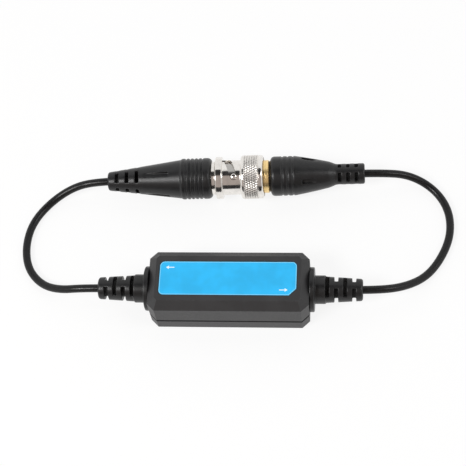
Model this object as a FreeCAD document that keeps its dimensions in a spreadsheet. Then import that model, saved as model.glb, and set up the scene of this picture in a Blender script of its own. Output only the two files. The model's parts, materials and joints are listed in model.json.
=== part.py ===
"""In-line video ground loop isolator.

A small two-shell case holds an isolation transformer on a board. A thin coaxial lead leaves
each end through a slotted strain relief. The left lead ends in a bayonet jack and the right
lead in a bayonet plug, and the two are locked together behind the case.

Frame: millimetres, +Z up, X along the case, origin at the centre of the case's underside.
"""

import FreeCAD, Part
import math
import os
import re
import Sketcher

V = FreeCAD.Vector

# Driving dimensions: alias, value, meaning
SIZES = [
    ("case_length", 51.0, "case along X"),
    ("case_width", 20.5, "case along Y"),
    ("case_height", 15.6, "case along Z"),
    ("case_wall", 1.6, "wall, floor and ceiling of both shells"),
    ("case_corner", 2.36, "45 degree cut of the case's four upright corners"),
    ("case_bevel", 2.5, "45 degree chamfer round the top of the case"),
    ("foot_corner", 0.5, "small chamfer under the tray"),
    ("parting_height", 5.3, "parting line above the surface"),
    ("parting_groove", 0.25, "chamfer of each shell along the parting line"),
    ("lip_wall", 0.7, "thickness of the lip that stands in the cover"),
    ("lip_height", 0.9, "height of the lip above the parting line"),
    ("shell_fit", 0.1, "clearance between lip and cover"),
    ("label_length", 43.3, "label along X"),
    ("label_width", 11.5, "label along Y"),
    ("label_thick", 0.2, "thickness of the label"),
    ("label_round", 1.5, "three rounded corners of the label"),
    ("label_cut", 2.3, "cut corner of the label"),
    ("recess_depth", 0.25, "depth of the label's recess"),
    ("recess_fit", 0.15, "gap round the label in its recess"),
    ("post_width", 2.6, "diameter of the board's posts"),
    ("post_height", 2.0, "board's underside above the floor"),
    ("peg_width", 1.2, "diameter of the pegs through the board"),
    ("peg_rise", 0.5, "pegs above the board"),
    ("peg_fit", 0.1, "radial clearance of pegs and pins in the board"),
    ("peg_inset", 2.2, "pegs from the board's edges"),
    ("board_end_gap", 1.0, "board to the reliefs' inner flanges"),
    ("board_side_gap", 0.85, "board to the side walls"),
    ("board_thick", 1.2, "thickness of the board"),
    ("core_outer", 10.0, "outer diameter of the ferrite ring"),
    ("core_inner", 5.2, "inner diameter of the ferrite ring"),
    ("core_height", 4.6, "height of the ferrite ring"),
    ("winding_thick", 0.7, "thickness of each winding round the ring"),
    ("winding_fit", 0.05, "clearance between winding and ring"),
    ("winding_angle", 130.0, "arc that each winding covers"),
    ("film_length", 6.0, "capacitor along Y"),
    ("film_thick", 2.6, "capacitor along X"),
    ("film_height", 5.5, "height of the capacitor"),
    ("film_round", 0.4, "rounded edges of the capacitor"),
    ("film_place", 9.2, "capacitors from the middle of the board"),
    ("pin_width", 0.6, "diameter of the capacitor's pins"),
    ("pin_spread", 4.0, "distance between the capacitor's pins"),
    ("relief_height", 7.5, "axis of the reliefs above the surface"),
    ("relief_fit", 0.05, "clearance of the relief's neck in the shells"),
    ("relief_neck", 8.4, "diameter of the neck in the wall"),
    ("relief_inner_flange", 11.0, "diameter of the flange inside the wall"),
    ("relief_inner_thick", 1.3, "thickness of the flange inside the wall"),
    ("flange_width", 14.3, "diameter of the disc flange outside"),
    ("flange_thick", 1.55, "thickness of the disc flange"),
    ("relief_root", 9.1, "diameter of the plain root of the relief"),
    ("relief_shoulder", 8.4, "diameter where the ribs start"),
    ("relief_tip", 7.0, "diameter of the last rib"),
    ("relief_root_end", 5.0, "end of the plain root from the case"),
    ("relief_length", 16.8, "relief from the case to its tip"),
    ("relief_pitch", 2.82, "distance from one slot to the next"),
    ("relief_slot", 1.2, "width of each slot"),
    ("relief_core", 5.0, "diameter left under the slots"),
    ("relief_tip_round", 0.7, "rounded edge of the tip"),
    ("wide_slot_angle", 126.0, "arc of the two long slots in a row"),
    ("short_slot_angle", 58.0, "arc of the four short slots in a row"),
    ("lead_width", 2.6, "diameter of the coaxial leads"),
    ("lead_socket", 3.0, "depth to which a lead is moulded in"),
    ("lead_fit", 0.05, "radial clearance of a lead in its socket"),
    ("lead_out", 5.2, "straight lead in front of each socket"),
    ("wire_width", 1.0, "diameter of the stripped inner wire"),
    ("wire_bend", 1.6, "bend radius of the inner wire and the braid tail"),
    ("wire_inset", 2.2, "where the wires meet the board, from its end"),
    ("braid_width", 0.8, "diameter of the twisted braid tail"),
    ("braid_offset", 3.0, "braid tail beside the inner wire"),
    ("axis_back", 41.0, "connector axis behind the case's middle"),
    ("axis_height", 7.3, "connector axis above the surface"),
    ("axis_yaw", 2.0, "connector axis turned about Z"),
    ("stud_roll", 26.5, "studs turned from upright towards the case"),
    ("jack_roll", 10.5, "slots of the jack boot turned from upright"),
    ("plug_roll", 50.6, "slots of the plug boot turned from upright"),
    ("mate_gap", 0.1, "jack's front edge to the gasket"),
    ("barrel_width", 9.6, "outer diameter of the jack barrel"),
    ("barrel_bore", 8.2, "bore of the jack barrel"),
    ("barrel_front", 4.8, "front edge of the barrel along the axis"),
    ("barrel_depth", 9.8, "depth of the bore"),
    ("stud_width", 2.0, "diameter of the bayonet studs"),
    ("stud_span", 11.0, "distance over the two studs"),
    ("stud_place", -0.4, "studs along the axis"),
    ("slot_fit", 0.15, "clearance each side of a stud in its slot"),
    ("turn_angle", 75.0, "turn of the nut from locked to free"),
    ("turn_draw", 2.4, "travel of the jack over that turn"),
    ("nut_front", -6.5, "front face of the nut along the axis"),
    ("nut_fit", 0.1, "clearance of the nut round the barrel"),
    ("rim_width", 14.05, "diameter of the nut's front rim"),
    ("rim_length", 2.25, "length of the nut's front rim"),
    ("rim_round", 0.3, "rounded edges of the rims"),
    ("neck_width", 11.5, "diameter of the nut's neck"),
    ("grip_width", 14.5, "diameter of the nut's grip"),
    ("grip_start", 1.8, "shoulder of the grip along the axis"),
    ("grip_round", 1.1, "rounded shoulder of the grip"),
    ("grip_groove", 7.5, "fine groove behind the grip along the axis"),
    ("groove_depth", 0.3, "depth of the fine groove"),
    ("nut_length", 15.9, "length of the nut"),
    ("nut_round", 0.6, "rounded rear edge of the nut"),
    ("chamber_width", 12.8, "chamber of the nut behind the barrel"),
    ("chamber_start", 6.2, "front of the chamber along the axis"),
    ("collar_start", 6.4, "front of the plug's collar along the axis"),
    ("collar_width", 12.4, "diameter of the plug's collar"),
    ("collar_thick", 0.8, "thickness of the plug's collar"),
    ("spring_room", 1.0, "room for the spring washer"),
    ("spring_thick", 0.2, "thickness of the spring washer"),
    ("spring_rise", 0.7, "height of the curved spring washer"),
    ("clip_width", 0.7, "thickness of the retaining ring"),
    ("clip_depth", 0.3, "depth of the ring's groove in the nut"),
    ("clip_gap", 40.0, "opening of the retaining ring in degrees"),
    ("running_gap", 0.2, "radial gap between ring and plug body"),
    ("body_width", 10.7, "diameter of the gold plug body"),
    ("body_end", 11.0, "end of the gold band along the axis"),
    ("body_neck", 9.2, "diameter of the plug body in its boot"),
    ("body_neck_end", 13.0, "end of that neck along the axis"),
    ("body_front_width", 9.5, "diameter of the plug body's front"),
    ("body_front", 5.2, "front face of the plug body along the axis"),
    ("crimp_width", 4.6, "diameter of the crimp tubes"),
    ("crimp_bore", 3.2, "bore of the crimp tubes"),
    ("crimp_length", 7.0, "length of the crimp tubes"),
    ("ferrule_wall", 0.7, "wall of the crimped ferrules"),
    ("ferrule_length", 5.5, "length of the crimped ferrules"),
    ("seat_fit", 0.05, "clearance of pieces that are pressed together"),
    ("sleeve_width", 8.0, "diameter of the split sleeve"),
    ("sleeve_wall", 0.7, "wall of the split sleeve"),
    ("sleeve_front", -1.0, "front of the split sleeve along the axis"),
    ("sleeve_back", 8.8, "back of the split sleeve along the axis"),
    ("sleeve_slit", 0.5, "width of the slits in the sleeve"),
    ("sleeve_slit_end", 3.0, "end of the slits along the axis"),
    ("insulator_front", 3.4, "front of the plug's insulator along the axis"),
    ("insulator_step", 5.4, "rear diameter of the plug's insulator"),
    ("insulator_back", 12.0, "back of the plug's insulator along the axis"),
    ("pin_tip", 1.35, "diameter of the centre pin"),
    ("pin_shank", 2.0, "diameter of the pin's shank"),
    ("pin_front", -1.2, "tip of the centre pin along the axis"),
    ("jack_insulator_width", 4.7, "diameter of the jack's insulator"),
    ("jack_insulator_front", 2.4, "front of the jack's insulator along the axis"),
    ("jack_insulator_back", -12.0, "back of the jack's insulator along the axis"),
    ("contact_width", 2.2, "diameter of the jack's centre contact"),
    ("contact_bore", 1.55, "bore of the jack's centre contact"),
    ("contact_depth", 6.0, "depth of that bore"),
    ("jack_boot_front", -7.8, "front face of the jack boot along the axis"),
    ("jack_boot_tail", -42.8, "tail of the jack boot along the axis"),
    ("jack_collar_width", 13.6, "diameter of the jack boot's collar"),
    ("jack_collar_back", -11.0, "back of that collar along the axis"),
    ("jack_collar_round", 1.5, "rounded front edge of the jack boot"),
    ("jack_cone_width", 12.9, "large end of the jack boot's cone"),
    ("jack_cone_end", -18.1, "large end of the cone along the axis"),
    ("jack_tail_width", 6.1, "small end of the jack boot's cone"),
    ("jack_tail_round", 0.6, "rounded tail of the jack boot"),
    ("ring_pitch", 1.35, "distance from one raised ring to the next"),
    ("ring_groove", 0.55, "depth of the grooves between the rings"),
    ("ring_groove_width", 0.75, "width of the grooves between the rings"),
    ("jack_slot_inset", 3.2, "last slot row of the jack boot, from its tail"),
    ("jack_slot_pitch", 3.4, "distance from one slot row to the next"),
    ("jack_slot_core", 4.4, "diameter left under the jack boot's slots"),
    ("boot_slot", 1.15, "width of the slots in both boots"),
    ("flute_width", 1.4, "width of the flutes in both boots"),
    ("flute_depth", 0.9, "depth of the flutes at their deep end"),
    ("jack_spigot_back", -14.0, "end of the jack body's shank along the axis"),
    ("jack_spigot_width", 6.8, "diameter of the jack body's shank"),
    ("jack_shoulder", -9.6, "end of the barrel inside the boot"),
    ("jack_flange_width", 11.2, "diameter of the barrel's flange before the boot"),
    ("jack_flange_front", -6.6, "front face of that flange along the axis"),
    ("jack_flange_back", -7.75, "back face of that flange along the axis"),
    ("plug_boot_front", 11.6, "front face of the plug boot along the axis"),
    ("plug_boot_width", 13.1, "diameter of the plug boot"),
    ("plug_boot_round", 1.3, "rounded front edge of the plug boot"),
    ("plug_taper_start", 19.6, "start of the plug boot's taper"),
    ("plug_taper_width", 12.6, "diameter where the taper starts"),
    ("plug_bulge_width", 11.4, "diameter in the middle of the taper's long stretch"),
    ("plug_bend_width", 9.44, "diameter where the taper steepens"),
    ("plug_heel_width", 8.5, "diameter in the middle of the taper's steep stretch"),
    ("plug_tail_width", 6.85, "diameter of the plug boot's tail"),
    ("plug_tail_length", 9.5, "length of the plug boot's straight tail"),
    ("plug_boot_tail", 42.6, "tail of the plug boot along the axis"),
    ("plug_tail_round", 0.6, "rounded tail of the plug boot"),
    ("plug_ring_first", 15.5, "first shallow ring groove of the plug boot"),
    ("plug_ring_pitch", 1.75, "distance from one ring groove to the next"),
    ("plug_ring_depth", 0.4, "depth of the ring grooves"),
    ("plug_ring_width", 0.7, "width of the ring grooves"),
    ("plug_slot_inset", 2.8, "last slot row of the plug boot, from its tail"),
    ("plug_slot_pitch", 2.75, "distance from one slot row to the next"),
    ("plug_slot_core", 4.6, "diameter left under the plug boot's slots"),
]

RING_COUNT = 5
ROW_COUNT = 3
PLUG_RING_COUNT = 3
SLOT_COUNT = 4

# Route of each lead between its two straight ends, chosen by eye: it sags to the surface
LEFT_ROUTE = [
    (-56.2, -0.2, 4.2),
    (-63.2, 3.1, 1.6),
    (-68.1, 9.7, 1.35),
    (-69.9, 17.9, 1.35),
    (-68.6, 26.7, 1.35),
    (-63.6, 34.2, 1.45),
    (-56.0, 38.6, 4.2),
]
RIGHT_ROUTE = [
    (55.8, 2.6, 4.8),
    (62.6, 7.6, 1.7),
    (67.6, 14.8, 1.35),
    (70.6, 23.3, 1.35),
    (70.0, 32.4, 1.35),
    (65.3, 40.0, 1.5),
    (57.2, 43.7, 4.2),
]

doc = FreeCAD.newDocument("GroundLoopIsolator")
sheet = doc.addObject("Spreadsheet::Sheet", "sizes")
for row, (alias, number, meaning) in enumerate(SIZES, start=1):
    sheet.set(f"A{row}", meaning)
    sheet.set(f"B{row}", str(number))
    sheet.setAlias(f"B{row}", alias)
doc.recompute()
ALIASES = {alias for alias, number, meaning in SIZES}
parts = []


def cells(formula):
    """Point every alias in a formula at its cell of the sheet."""
    return re.sub(
        r"[a-z_]+",
        lambda word: "sizes." + word.group() if word.group() in ALIASES else word.group(),
        str(formula),
    )


def value(formula):
    """The number that a formula gives now."""
    return float(sheet.evalExpression(cells(formula)))


def bind(thing, path, formula):
    thing.setExpression(path, cells(formula))


def keep(thing, label):
    """Name a finished sub-part and put it on the list of files to write."""
    thing.Label = label
    parts.append(thing)
    return thing


def new_body(name):
    return doc.addObject("PartDesign::Body", name)


def new_sketch(body, role, lift="0"):
    """A sketch on one of the body's own origin planes, lifted along the plane's normal."""
    plane = next(item for item in body.Origin.OriginFeatures if item.Role == role)
    sketch = body.newObject("Sketcher::SketchObject", "Sketch")
    sketch.AttachmentSupport = (plane, [""])
    sketch.MapMode = "FlatFace"
    bind(sketch, "AttachmentOffset.Base.z", lift)
    return sketch


def place_point(sketch, geometry, end, across, along):
    """Hold one end of a sketch line by two bound distances from the sketch's origin."""
    for kind, formula, axis in (("DistanceX", across, -2), ("DistanceY", along, -1)):
        if formula == "0":
            sketch.addConstraint(Sketcher.Constraint("PointOnObject", geometry, end, axis))
            continue
        number = value(formula)
        index = sketch.addConstraint(Sketcher.Constraint(kind, -1, 1, geometry, end, number))
        bind(sketch, f"Constraints[{index}]", formula)


def outline(sketch, corners):
    """A closed outline, anticlockwise where it has arcs. A corner is (across, along), or
    (across, along, radius) where an arc leads to the next corner: it bulges outward, or
    inward where the radius is negative. A sketch's arcs always run anticlockwise, so an
    inward one starts at the later corner."""
    spots = [V(value(corner[0]), value(corner[1]), 0) for corner in corners]
    first = len(sketch.Geometry)
    ends = []
    for index, corner in enumerate(corners):
        start = spots[index]
        stop = spots[(index + 1) % len(spots)]
        if len(corner) == 2:
            sketch.addGeometry(Part.LineSegment(start, stop), False)
            ends.append((1, 2))
            continue
        radius = value(corner[2])
        chord = stop - start
        rise = abs(radius) - math.sqrt(radius * radius - chord.Length * chord.Length / 4)
        side = V(chord.y, -chord.x, 0).normalize() * math.copysign(rise, radius)
        middle = (start + stop) * 0.5 + side
        anticlockwise = radius > 0
        if not anticlockwise:
            start, stop = stop, start
        sketch.addGeometry(Part.Arc(start, middle, stop), False)
        ends.append((1, 2) if anticlockwise else (2, 1))
    for index, corner in enumerate(corners):
        here = first + index
        after = (index + 1) % len(corners)
        sketch.addConstraint(
            Sketcher.Constraint("Coincident", here, ends[index][1], first + after, ends[after][0])
        )
        place_point(sketch, here, ends[index][0], corner[0], corner[1])
        if len(corner) == 3:
            radius = f"abs({corner[2]})"
            at = sketch.addConstraint(Sketcher.Constraint("Radius", here, value(radius)))
            bind(sketch, f"Constraints[{at}]", radius)


def rectangle(sketch, left, right, low, high):
    outline(sketch, [(left, low), (right, low), (right, high), (left, high)])


def eight_sided(sketch, inset="0"):
    """The case's plan with its chamfered corners, drawn in by an inset."""
    half_length = f"(case_length / 2 - ({inset}))"
    half_width = f"(case_width / 2 - ({inset}))"
    corner = f"(case_corner - ({inset}) * (2 - sqrt(2)))"
    outline(sketch, [
        (half_length, f"{half_width} - {corner}"),
        (f"{half_length} - {corner}", half_width),
        (f"{corner} - {half_length}", half_width),
        (f"-{half_length}", f"{half_width} - {corner}"),
        (f"-{half_length}", f"{corner} - {half_width}"),
        (f"{corner} - {half_length}", f"-{half_width}"),
        (f"{half_length} - {corner}", f"-{half_width}"),
        (half_length, f"{corner} - {half_width}"),
    ])


def circle(sketch, across, along, width):
    """A circle of a bound diameter about a bound centre."""
    centre = V(value(across), value(along), 0)
    index = sketch.addGeometry(Part.Circle(centre, V(0, 0, 1), value(width) / 2), False)
    place_point(sketch, index, 3, across, along)
    at = sketch.addConstraint(Sketcher.Constraint("Diameter", index, value(width)))
    bind(sketch, f"Constraints[{at}]", width)


def grow(body, kind, sketch, length, both_ways=False, backwards=False):
    """A Pad or Pocket of a bound length. A cut that removes nothing is an error."""
    before = body.Shape.Volume if body.Tip else 0.0
    feature = body.newObject("PartDesign::" + kind, kind)
    feature.Profile = sketch
    bind(feature, "Length", length)
    feature.Midplane = both_ways
    feature.Reversed = backwards
    doc.recompute()
    if abs(body.Shape.Volume - before) < 1e-4:
        raise RuntimeError(f"{body.Name}: {kind} changed nothing")
    return feature


def turn(body, kind, sketch, angle="360"):
    """A Revolution or Groove about the sketch's upright axis."""
    before = body.Shape.Volume if body.Tip else 0.0
    feature = body.newObject("PartDesign::" + kind, kind)
    feature.Profile = sketch
    feature.ReferenceAxis = (sketch, ["V_Axis"])
    if angle == "360":
        feature.Angle = 360
    else:
        bind(feature, "Angle", angle)
        feature.Midplane = True
    doc.recompute()
    if abs(body.Shape.Volume - before) < 1e-4:
        raise RuntimeError(f"{body.Name}: {kind} changed nothing")
    return feature


def repeat_around(body, feature, copies):
    """The same feature again, evenly round the body's Z axis."""
    pattern = body.newObject("PartDesign::PolarPattern", "Around")
    pattern.Originals = [feature]
    pattern.Axis = (next(i for i in body.Origin.OriginFeatures if i.Role == "Z_Axis"), [""])
    pattern.Angle = 360
    pattern.Occurrences = copies
    body.Tip = pattern
    doc.recompute()
    return pattern


def dress(body, kind, size, wanted):
    """A Fillet or Chamfer of a bound size on the edges that a test picks."""
    names = [
        f"Edge{number}"
        for number, edge in enumerate(body.Tip.Shape.Edges, start=1)
        if wanted(edge)
    ]
    if not names:
        raise RuntimeError(f"{body.Name}: no edge for the {kind}")
    base = body.Tip
    feature = body.newObject("PartDesign::" + kind, kind)
    feature.Base = (base, names)
    bind(feature, "Radius" if kind == "Fillet" else "Size", size)
    doc.recompute()
    return feature


def flat_at(height):
    """Picks the edges that lie at one height."""
    level = value(height)
    return lambda edge: (
        abs(edge.BoundBox.ZMin - level) < 1e-5 and abs(edge.BoundBox.ZMax - level) < 1e-5
    )


def ring_at(height, width):
    """Picks the round edges at one height and of one diameter."""
    level = value(height)
    radius = value(width) / 2
    return lambda edge: (
        isinstance(edge.Curve, Part.Circle)
        and abs(edge.Curve.Radius - radius) < 1e-4
        and abs(edge.BoundBox.ZMin - level) < 1e-5
        and abs(edge.BoundBox.ZMax - level) < 1e-5
    )


def lathe(body, corners, kind="Revolution"):
    """A turned solid or bore from (radius, height) corners."""
    sketch = new_sketch(body, "XZ_Plane")
    outline(sketch, corners)
    return turn(body, kind, sketch)


def bored(steps):
    """The corners of a stepped bore on the axis: (diameter, from, to), end to end."""
    corners = [("0", steps[0][1])]
    for width, start, stop in steps:
        corners.append((f"({width}) / 2", start))
        corners.append((f"({width}) / 2", stop))
    corners.append(("0", steps[-1][2]))
    return corners


def on_connector(thing, roll="0"):
    """Lay a piece that was made upright along the connector axis. A roll turns it from
    upright towards the case."""
    bind(thing, "Placement.Base.y", "axis_back")
    bind(thing, "Placement.Base.z", "axis_height")
    lie = FreeCAD.Rotation(V(0, 1, 0), 90)
    yaw = FreeCAD.Rotation(V(0, 0, 1), value("axis_yaw"))
    spin = FreeCAD.Rotation(V(0, 0, 1), value(roll))
    thing.Placement = FreeCAD.Placement(
        V(0, value("axis_back"), value("axis_height")), yaw.multiply(lie).multiply(spin)
    )


def axis_point(along):
    """A point of the connector axis, in the case's frame."""
    yaw = math.radians(value("axis_yaw"))
    back = value("axis_back")
    return V(along * math.cos(yaw), back + along * math.sin(yaw), value("axis_height"))


def tube_path(points):
    """Straight runs joined by tangent arcs. An arc's radius is 0.45 of its shorter run,
    divided by the tangent of half its turn."""
    edges = []
    radii = []
    last = points[0]
    for before, corner, after in zip(points, points[1:], points[2:]):
        incoming = corner - before
        outgoing = after - corner
        half_turn = incoming.getAngle(outgoing) / 2
        setback = 0.45 * min(incoming.Length, outgoing.Length)
        radii.append(setback / math.tan(half_turn))
        start = corner - incoming.normalize() * setback
        stop = corner + outgoing.normalize() * setback
        inward = (outgoing - incoming).normalize()
        middle = corner + inward * (radii[-1] / math.cos(half_turn) - radii[-1])
        edges.append(Part.LineSegment(last, start).toShape())
        edges.append(Part.Arc(start, middle, stop).toShape())
        last = stop
    edges.append(Part.LineSegment(last, points[-1]).toShape())
    return Part.Wire(edges), radii


def tube(points, width, label):
    """A round tube along a path, checked against its section times its length."""
    path, radii = tube_path(points)
    heading = points[1] - points[0]
    section = Part.Wire(Part.Circle(points[0], heading, width / 2).toShape())
    solid = path.makePipeShell([section], True, False)
    expected = math.pi * width * width / 4 * path.Length
    if abs(solid.Volume - expected) > 0.01 * expected:
        raise RuntimeError(f"{label}: volume {solid.Volume:.2f}, expected {expected:.2f}")
    print(label, "length", round(path.Length, 1), "radii", [round(r, 1) for r in radii])
    thing = doc.addObject("Part::Feature", label)
    thing.Shape = solid
    return keep(thing, label)


# Heights inside the case, from the floor up
BOARD_UNDER = "(case_wall + post_height)"
BOARD_TOP = f"({BOARD_UNDER} + board_thick)"
CORE_UNDER = f"({BOARD_TOP} + winding_thick)"
RECESS_FLOOR = "(case_height - recess_depth)"
NECK_HOLE = "(relief_neck + 2 * relief_fit)"
BOARD_HALF_X = "(case_length / 2 - case_wall - relief_fit - relief_inner_thick - board_end_gap)"
BOARD_HALF_Y = "(case_width / 2 - case_wall - board_side_gap)"
PEG_X = f"({BOARD_HALF_X} - peg_inset)"
PEG_Y = f"({BOARD_HALF_Y} - peg_inset)"
SIGNS = [(1, 1), (-1, 1), (-1, -1), (1, -1)]


def at_pegs(sketch, width):
    for sign_x, sign_y in SIGNS:
        circle(sketch, f"{sign_x} * {PEG_X}", f"{sign_y} * {PEG_Y}", width)


def make_tray():
    """Lower shell: tray with a lip, a saddle at each end and four posts with pegs."""
    body = new_body("Tray")
    sketch = new_sketch(body, "XY_Plane")
    eight_sided(sketch)
    grow(body, "Pad", sketch, "parting_height")
    dress(body, "Chamfer", "foot_corner", flat_at("0"))
    dress(body, "Chamfer", "parting_groove", flat_at("parting_height"))
    sketch = new_sketch(body, "XY_Plane")
    eight_sided(sketch, "case_wall - lip_wall")
    grow(body, "Pad", sketch, "parting_height + lip_height")
    sketch = new_sketch(body, "XY_Plane", "case_wall")
    eight_sided(sketch, "case_wall")
    grow(body, "Pocket", sketch, "case_height", backwards=True)
    for side in (1, -1):
        sketch = new_sketch(body, "XY_Plane")
        ends = ["case_length / 2 - case_wall", "case_length / 2"]
        rectangle(
            sketch,
            f"{side} * ({ends[side < 0]})",
            f"{side} * ({ends[side > 0]})",
            f"-({NECK_HOLE} / 2 - shell_fit)",
            f"{NECK_HOLE} / 2 - shell_fit",
        )
        grow(body, "Pad", sketch, "relief_height")
    sketch = new_sketch(body, "YZ_Plane")
    circle(sketch, "0", "relief_height", NECK_HOLE)
    grow(body, "Pocket", sketch, "2 * case_length", both_ways=True)
    sketch = new_sketch(body, "XY_Plane", "case_wall")
    at_pegs(sketch, "post_width")
    grow(body, "Pad", sketch, "post_height")
    sketch = new_sketch(body, "XY_Plane", "case_wall")
    at_pegs(sketch, "peg_width")
    grow(body, "Pad", sketch, "post_height + board_thick + peg_rise")
    keep(body, "housing_bottom")


def make_cover():
    """Upper shell: chamfered cover with a recess for the label and a slot at each end."""
    body = new_body("Cover")
    sketch = new_sketch(body, "XY_Plane", "parting_height")
    eight_sided(sketch)
    grow(body, "Pad", sketch, "case_height - parting_height")
    dress(body, "Chamfer", "case_bevel", flat_at("case_height"))
    dress(body, "Chamfer", "parting_groove", flat_at("parting_height"))
    sketch = new_sketch(body, "XY_Plane", "parting_height")
    eight_sided(sketch, "case_wall")
    grow(body, "Pocket", sketch, "case_height - case_wall - parting_height", backwards=True)
    sketch = new_sketch(body, "XY_Plane", "parting_height")
    eight_sided(sketch, "case_wall - lip_wall - shell_fit")
    grow(body, "Pocket", sketch, "lip_height + shell_fit", backwards=True)
    sketch = new_sketch(body, "XY_Plane", RECESS_FLOOR)
    label_plan(sketch, "recess_fit")
    grow(body, "Pocket", sketch, "2 * recess_depth", backwards=True)
    sketch = new_sketch(body, "YZ_Plane")
    rectangle(sketch, f"-{NECK_HOLE} / 2", f"{NECK_HOLE} / 2", "0", "relief_height")
    grow(body, "Pocket", sketch, "2 * case_length", both_ways=True)
    sketch = new_sketch(body, "YZ_Plane")
    circle(sketch, "0", "relief_height", NECK_HOLE)
    grow(body, "Pocket", sketch, "2 * case_length", both_ways=True)
    keep(body, "housing_top")


def label_plan(sketch, spread):
    """The label's plan: three rounded corners and the front right one cut at 45 degrees."""
    half_x = f"(label_length / 2 + {spread})"
    half_y = f"(label_width / 2 + {spread})"
    bend = "label_round"
    cut = "label_cut"
    outline(sketch, [
        (half_x, f"{cut} - {half_y}"),
        (half_x, f"{half_y} - {bend}", bend),
        (f"{half_x} - {bend}", half_y),
        (f"{bend} - {half_x}", half_y, bend),
        (f"-{half_x}", f"{half_y} - {bend}"),
        (f"-{half_x}", f"{bend} - {half_y}", bend),
        (f"{bend} - {half_x}", f"-{half_y}"),
        (f"{half_x} - {cut}", f"-{half_y}"),
    ])


def make_label():
    body = new_body("Overlay")
    sketch = new_sketch(body, "XY_Plane", RECESS_FLOOR)
    label_plan(sketch, "0")
    grow(body, "Pad", sketch, "label_thick")
    keep(body, "label")


def make_board():
    """Board with holes for the tray's pegs and the capacitors' pins."""
    body = new_body("Board")
    sketch = new_sketch(body, "XY_Plane", BOARD_UNDER)
    rectangle(sketch, f"-{BOARD_HALF_X}", BOARD_HALF_X, f"-{BOARD_HALF_Y}", BOARD_HALF_Y)
    grow(body, "Pad", sketch, "board_thick")
    sketch = new_sketch(body, "XY_Plane", BOARD_UNDER)
    at_pegs(sketch, "peg_width + 2 * peg_fit")
    for side in (1, -1):
        for end in (1, -1):
            circle(
                sketch,
                f"{side} * film_place",
                f"{end} * pin_spread / 2",
                "pin_width + 2 * peg_fit",
            )
    grow(body, "Pocket", sketch, "2 * board_thick", backwards=True)
    keep(body, "circuit_board")


def make_transformer():
    """Ferrite ring on the board with a winding round each side of it."""
    body = new_body("Ring")
    sketch = new_sketch(body, "XY_Plane", CORE_UNDER)
    circle(sketch, "0", "0", "core_outer")
    circle(sketch, "0", "0", "core_inner")
    grow(body, "Pad", sketch, "core_height")
    keep(body, "transformer_core")
    for label, turned in (("winding_primary", 0), ("winding_secondary", 180)):
        body = new_body("Winding")
        sketch = new_sketch(body, "XZ_Plane")
        for thick in ("winding_thick", "winding_fit"):
            rectangle(
                sketch,
                f"core_inner / 2 - {thick}",
                f"core_outer / 2 + {thick}",
                f"{CORE_UNDER} - {thick}",
                f"{CORE_UNDER} + core_height + {thick}",
            )
        turn(body, "Revolution", sketch, "winding_angle")
        body.Placement = FreeCAD.Placement(V(), FreeCAD.Rotation(V(0, 0, 1), turned))
        keep(body, label)


def make_capacitors():
    """Film capacitors: a rounded block with two pins through the board."""
    for label, side in (("capacitor_left", -1), ("capacitor_right", 1)):
        body = new_body("Film")
        sketch = new_sketch(body, "XY_Plane", BOARD_TOP)
        rectangle(
            sketch, "-film_thick / 2", "film_thick / 2", "-film_length / 2", "film_length / 2"
        )
        grow(body, "Pad", sketch, "film_height")
        top = f"{BOARD_TOP} + film_height"
        dress(body, "Fillet", "film_round", flat_at(top))
        sketch = new_sketch(body, "XY_Plane", BOARD_TOP)
        for end in (1, -1):
            circle(sketch, "0", f"{end} * pin_spread / 2", "pin_width")
        grow(body, "Pad", sketch, "board_thick + peg_rise", backwards=True)
        bind(body, "Placement.Base.x", f"{side} * film_place")
        keep(body, label)


def relief_width(station):
    """Diameter of the tapering ribs at a distance from the case."""
    share = f"(({station}) - relief_root_end) / (relief_length - relief_root_end)"
    return f"(relief_shoulder + (relief_tip - relief_shoulder) * {share})"


def slot_row(body, station, width, core, outer, angle, copies, first_turn=0.0):
    """A row of slots: part grooves round the axis that leave webs between them."""
    sketch = new_sketch(body, "XZ_Plane")
    rectangle(
        sketch,
        f"({core}) / 2",
        f"({outer}) / 2 + 1",
        f"{station} - {width} / 2",
        f"{station} + {width} / 2",
    )
    sketch.AttachmentOffset = FreeCAD.Placement(V(), FreeCAD.Rotation(V(0, 1, 0), first_turn))
    groove = turn(body, "Groove", sketch, angle)
    repeat_around(body, groove, copies)


def make_relief(label, side):
    """Moulded relief: flange inside the wall, neck, disc flange and slotted tapering ribs."""
    body = new_body("Relief")
    behind = "(-case_wall - relief_fit)"
    lathe(body, [
        ("0", f"{behind} - relief_inner_thick"),
        ("relief_inner_flange / 2", f"{behind} - relief_inner_thick"),
        ("relief_inner_flange / 2", behind),
        ("relief_neck / 2", behind),
        ("relief_neck / 2", "0"),
        ("flange_width / 2", "0"),
        ("flange_width / 2", "flange_thick"),
        ("relief_root / 2", "flange_thick"),
        ("relief_root / 2", "relief_root_end"),
        ("relief_shoulder / 2", "relief_root_end"),
        ("relief_tip / 2", "relief_length"),
        ("0", "relief_length"),
    ])
    dress(body, "Fillet", "relief_tip_round", ring_at("relief_length", "relief_tip"))
    lathe(
        body,
        bored([("lead_width + 2 * lead_fit", "relief_length - lead_socket", "relief_length + 1")]),
        "Groove",
    )
    for row in range(4):
        station = f"(relief_root_end + {row + 0.2} * relief_pitch)"
        wide = row % 2 == 0
        slot_row(
            body,
            station,
            "relief_slot",
            "relief_core",
            relief_width(station),
            "wide_slot_angle" if wide else "short_slot_angle",
            2 if wide else SLOT_COUNT,
        )
    outward = FreeCAD.Rotation(V(0, 1, 0), 90 * side)
    body.Placement = FreeCAD.Placement(V(), outward)
    bind(body, "Placement.Base.x", f"{side} * case_length / 2")
    bind(body, "Placement.Base.z", "relief_height")
    keep(body, label)


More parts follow.
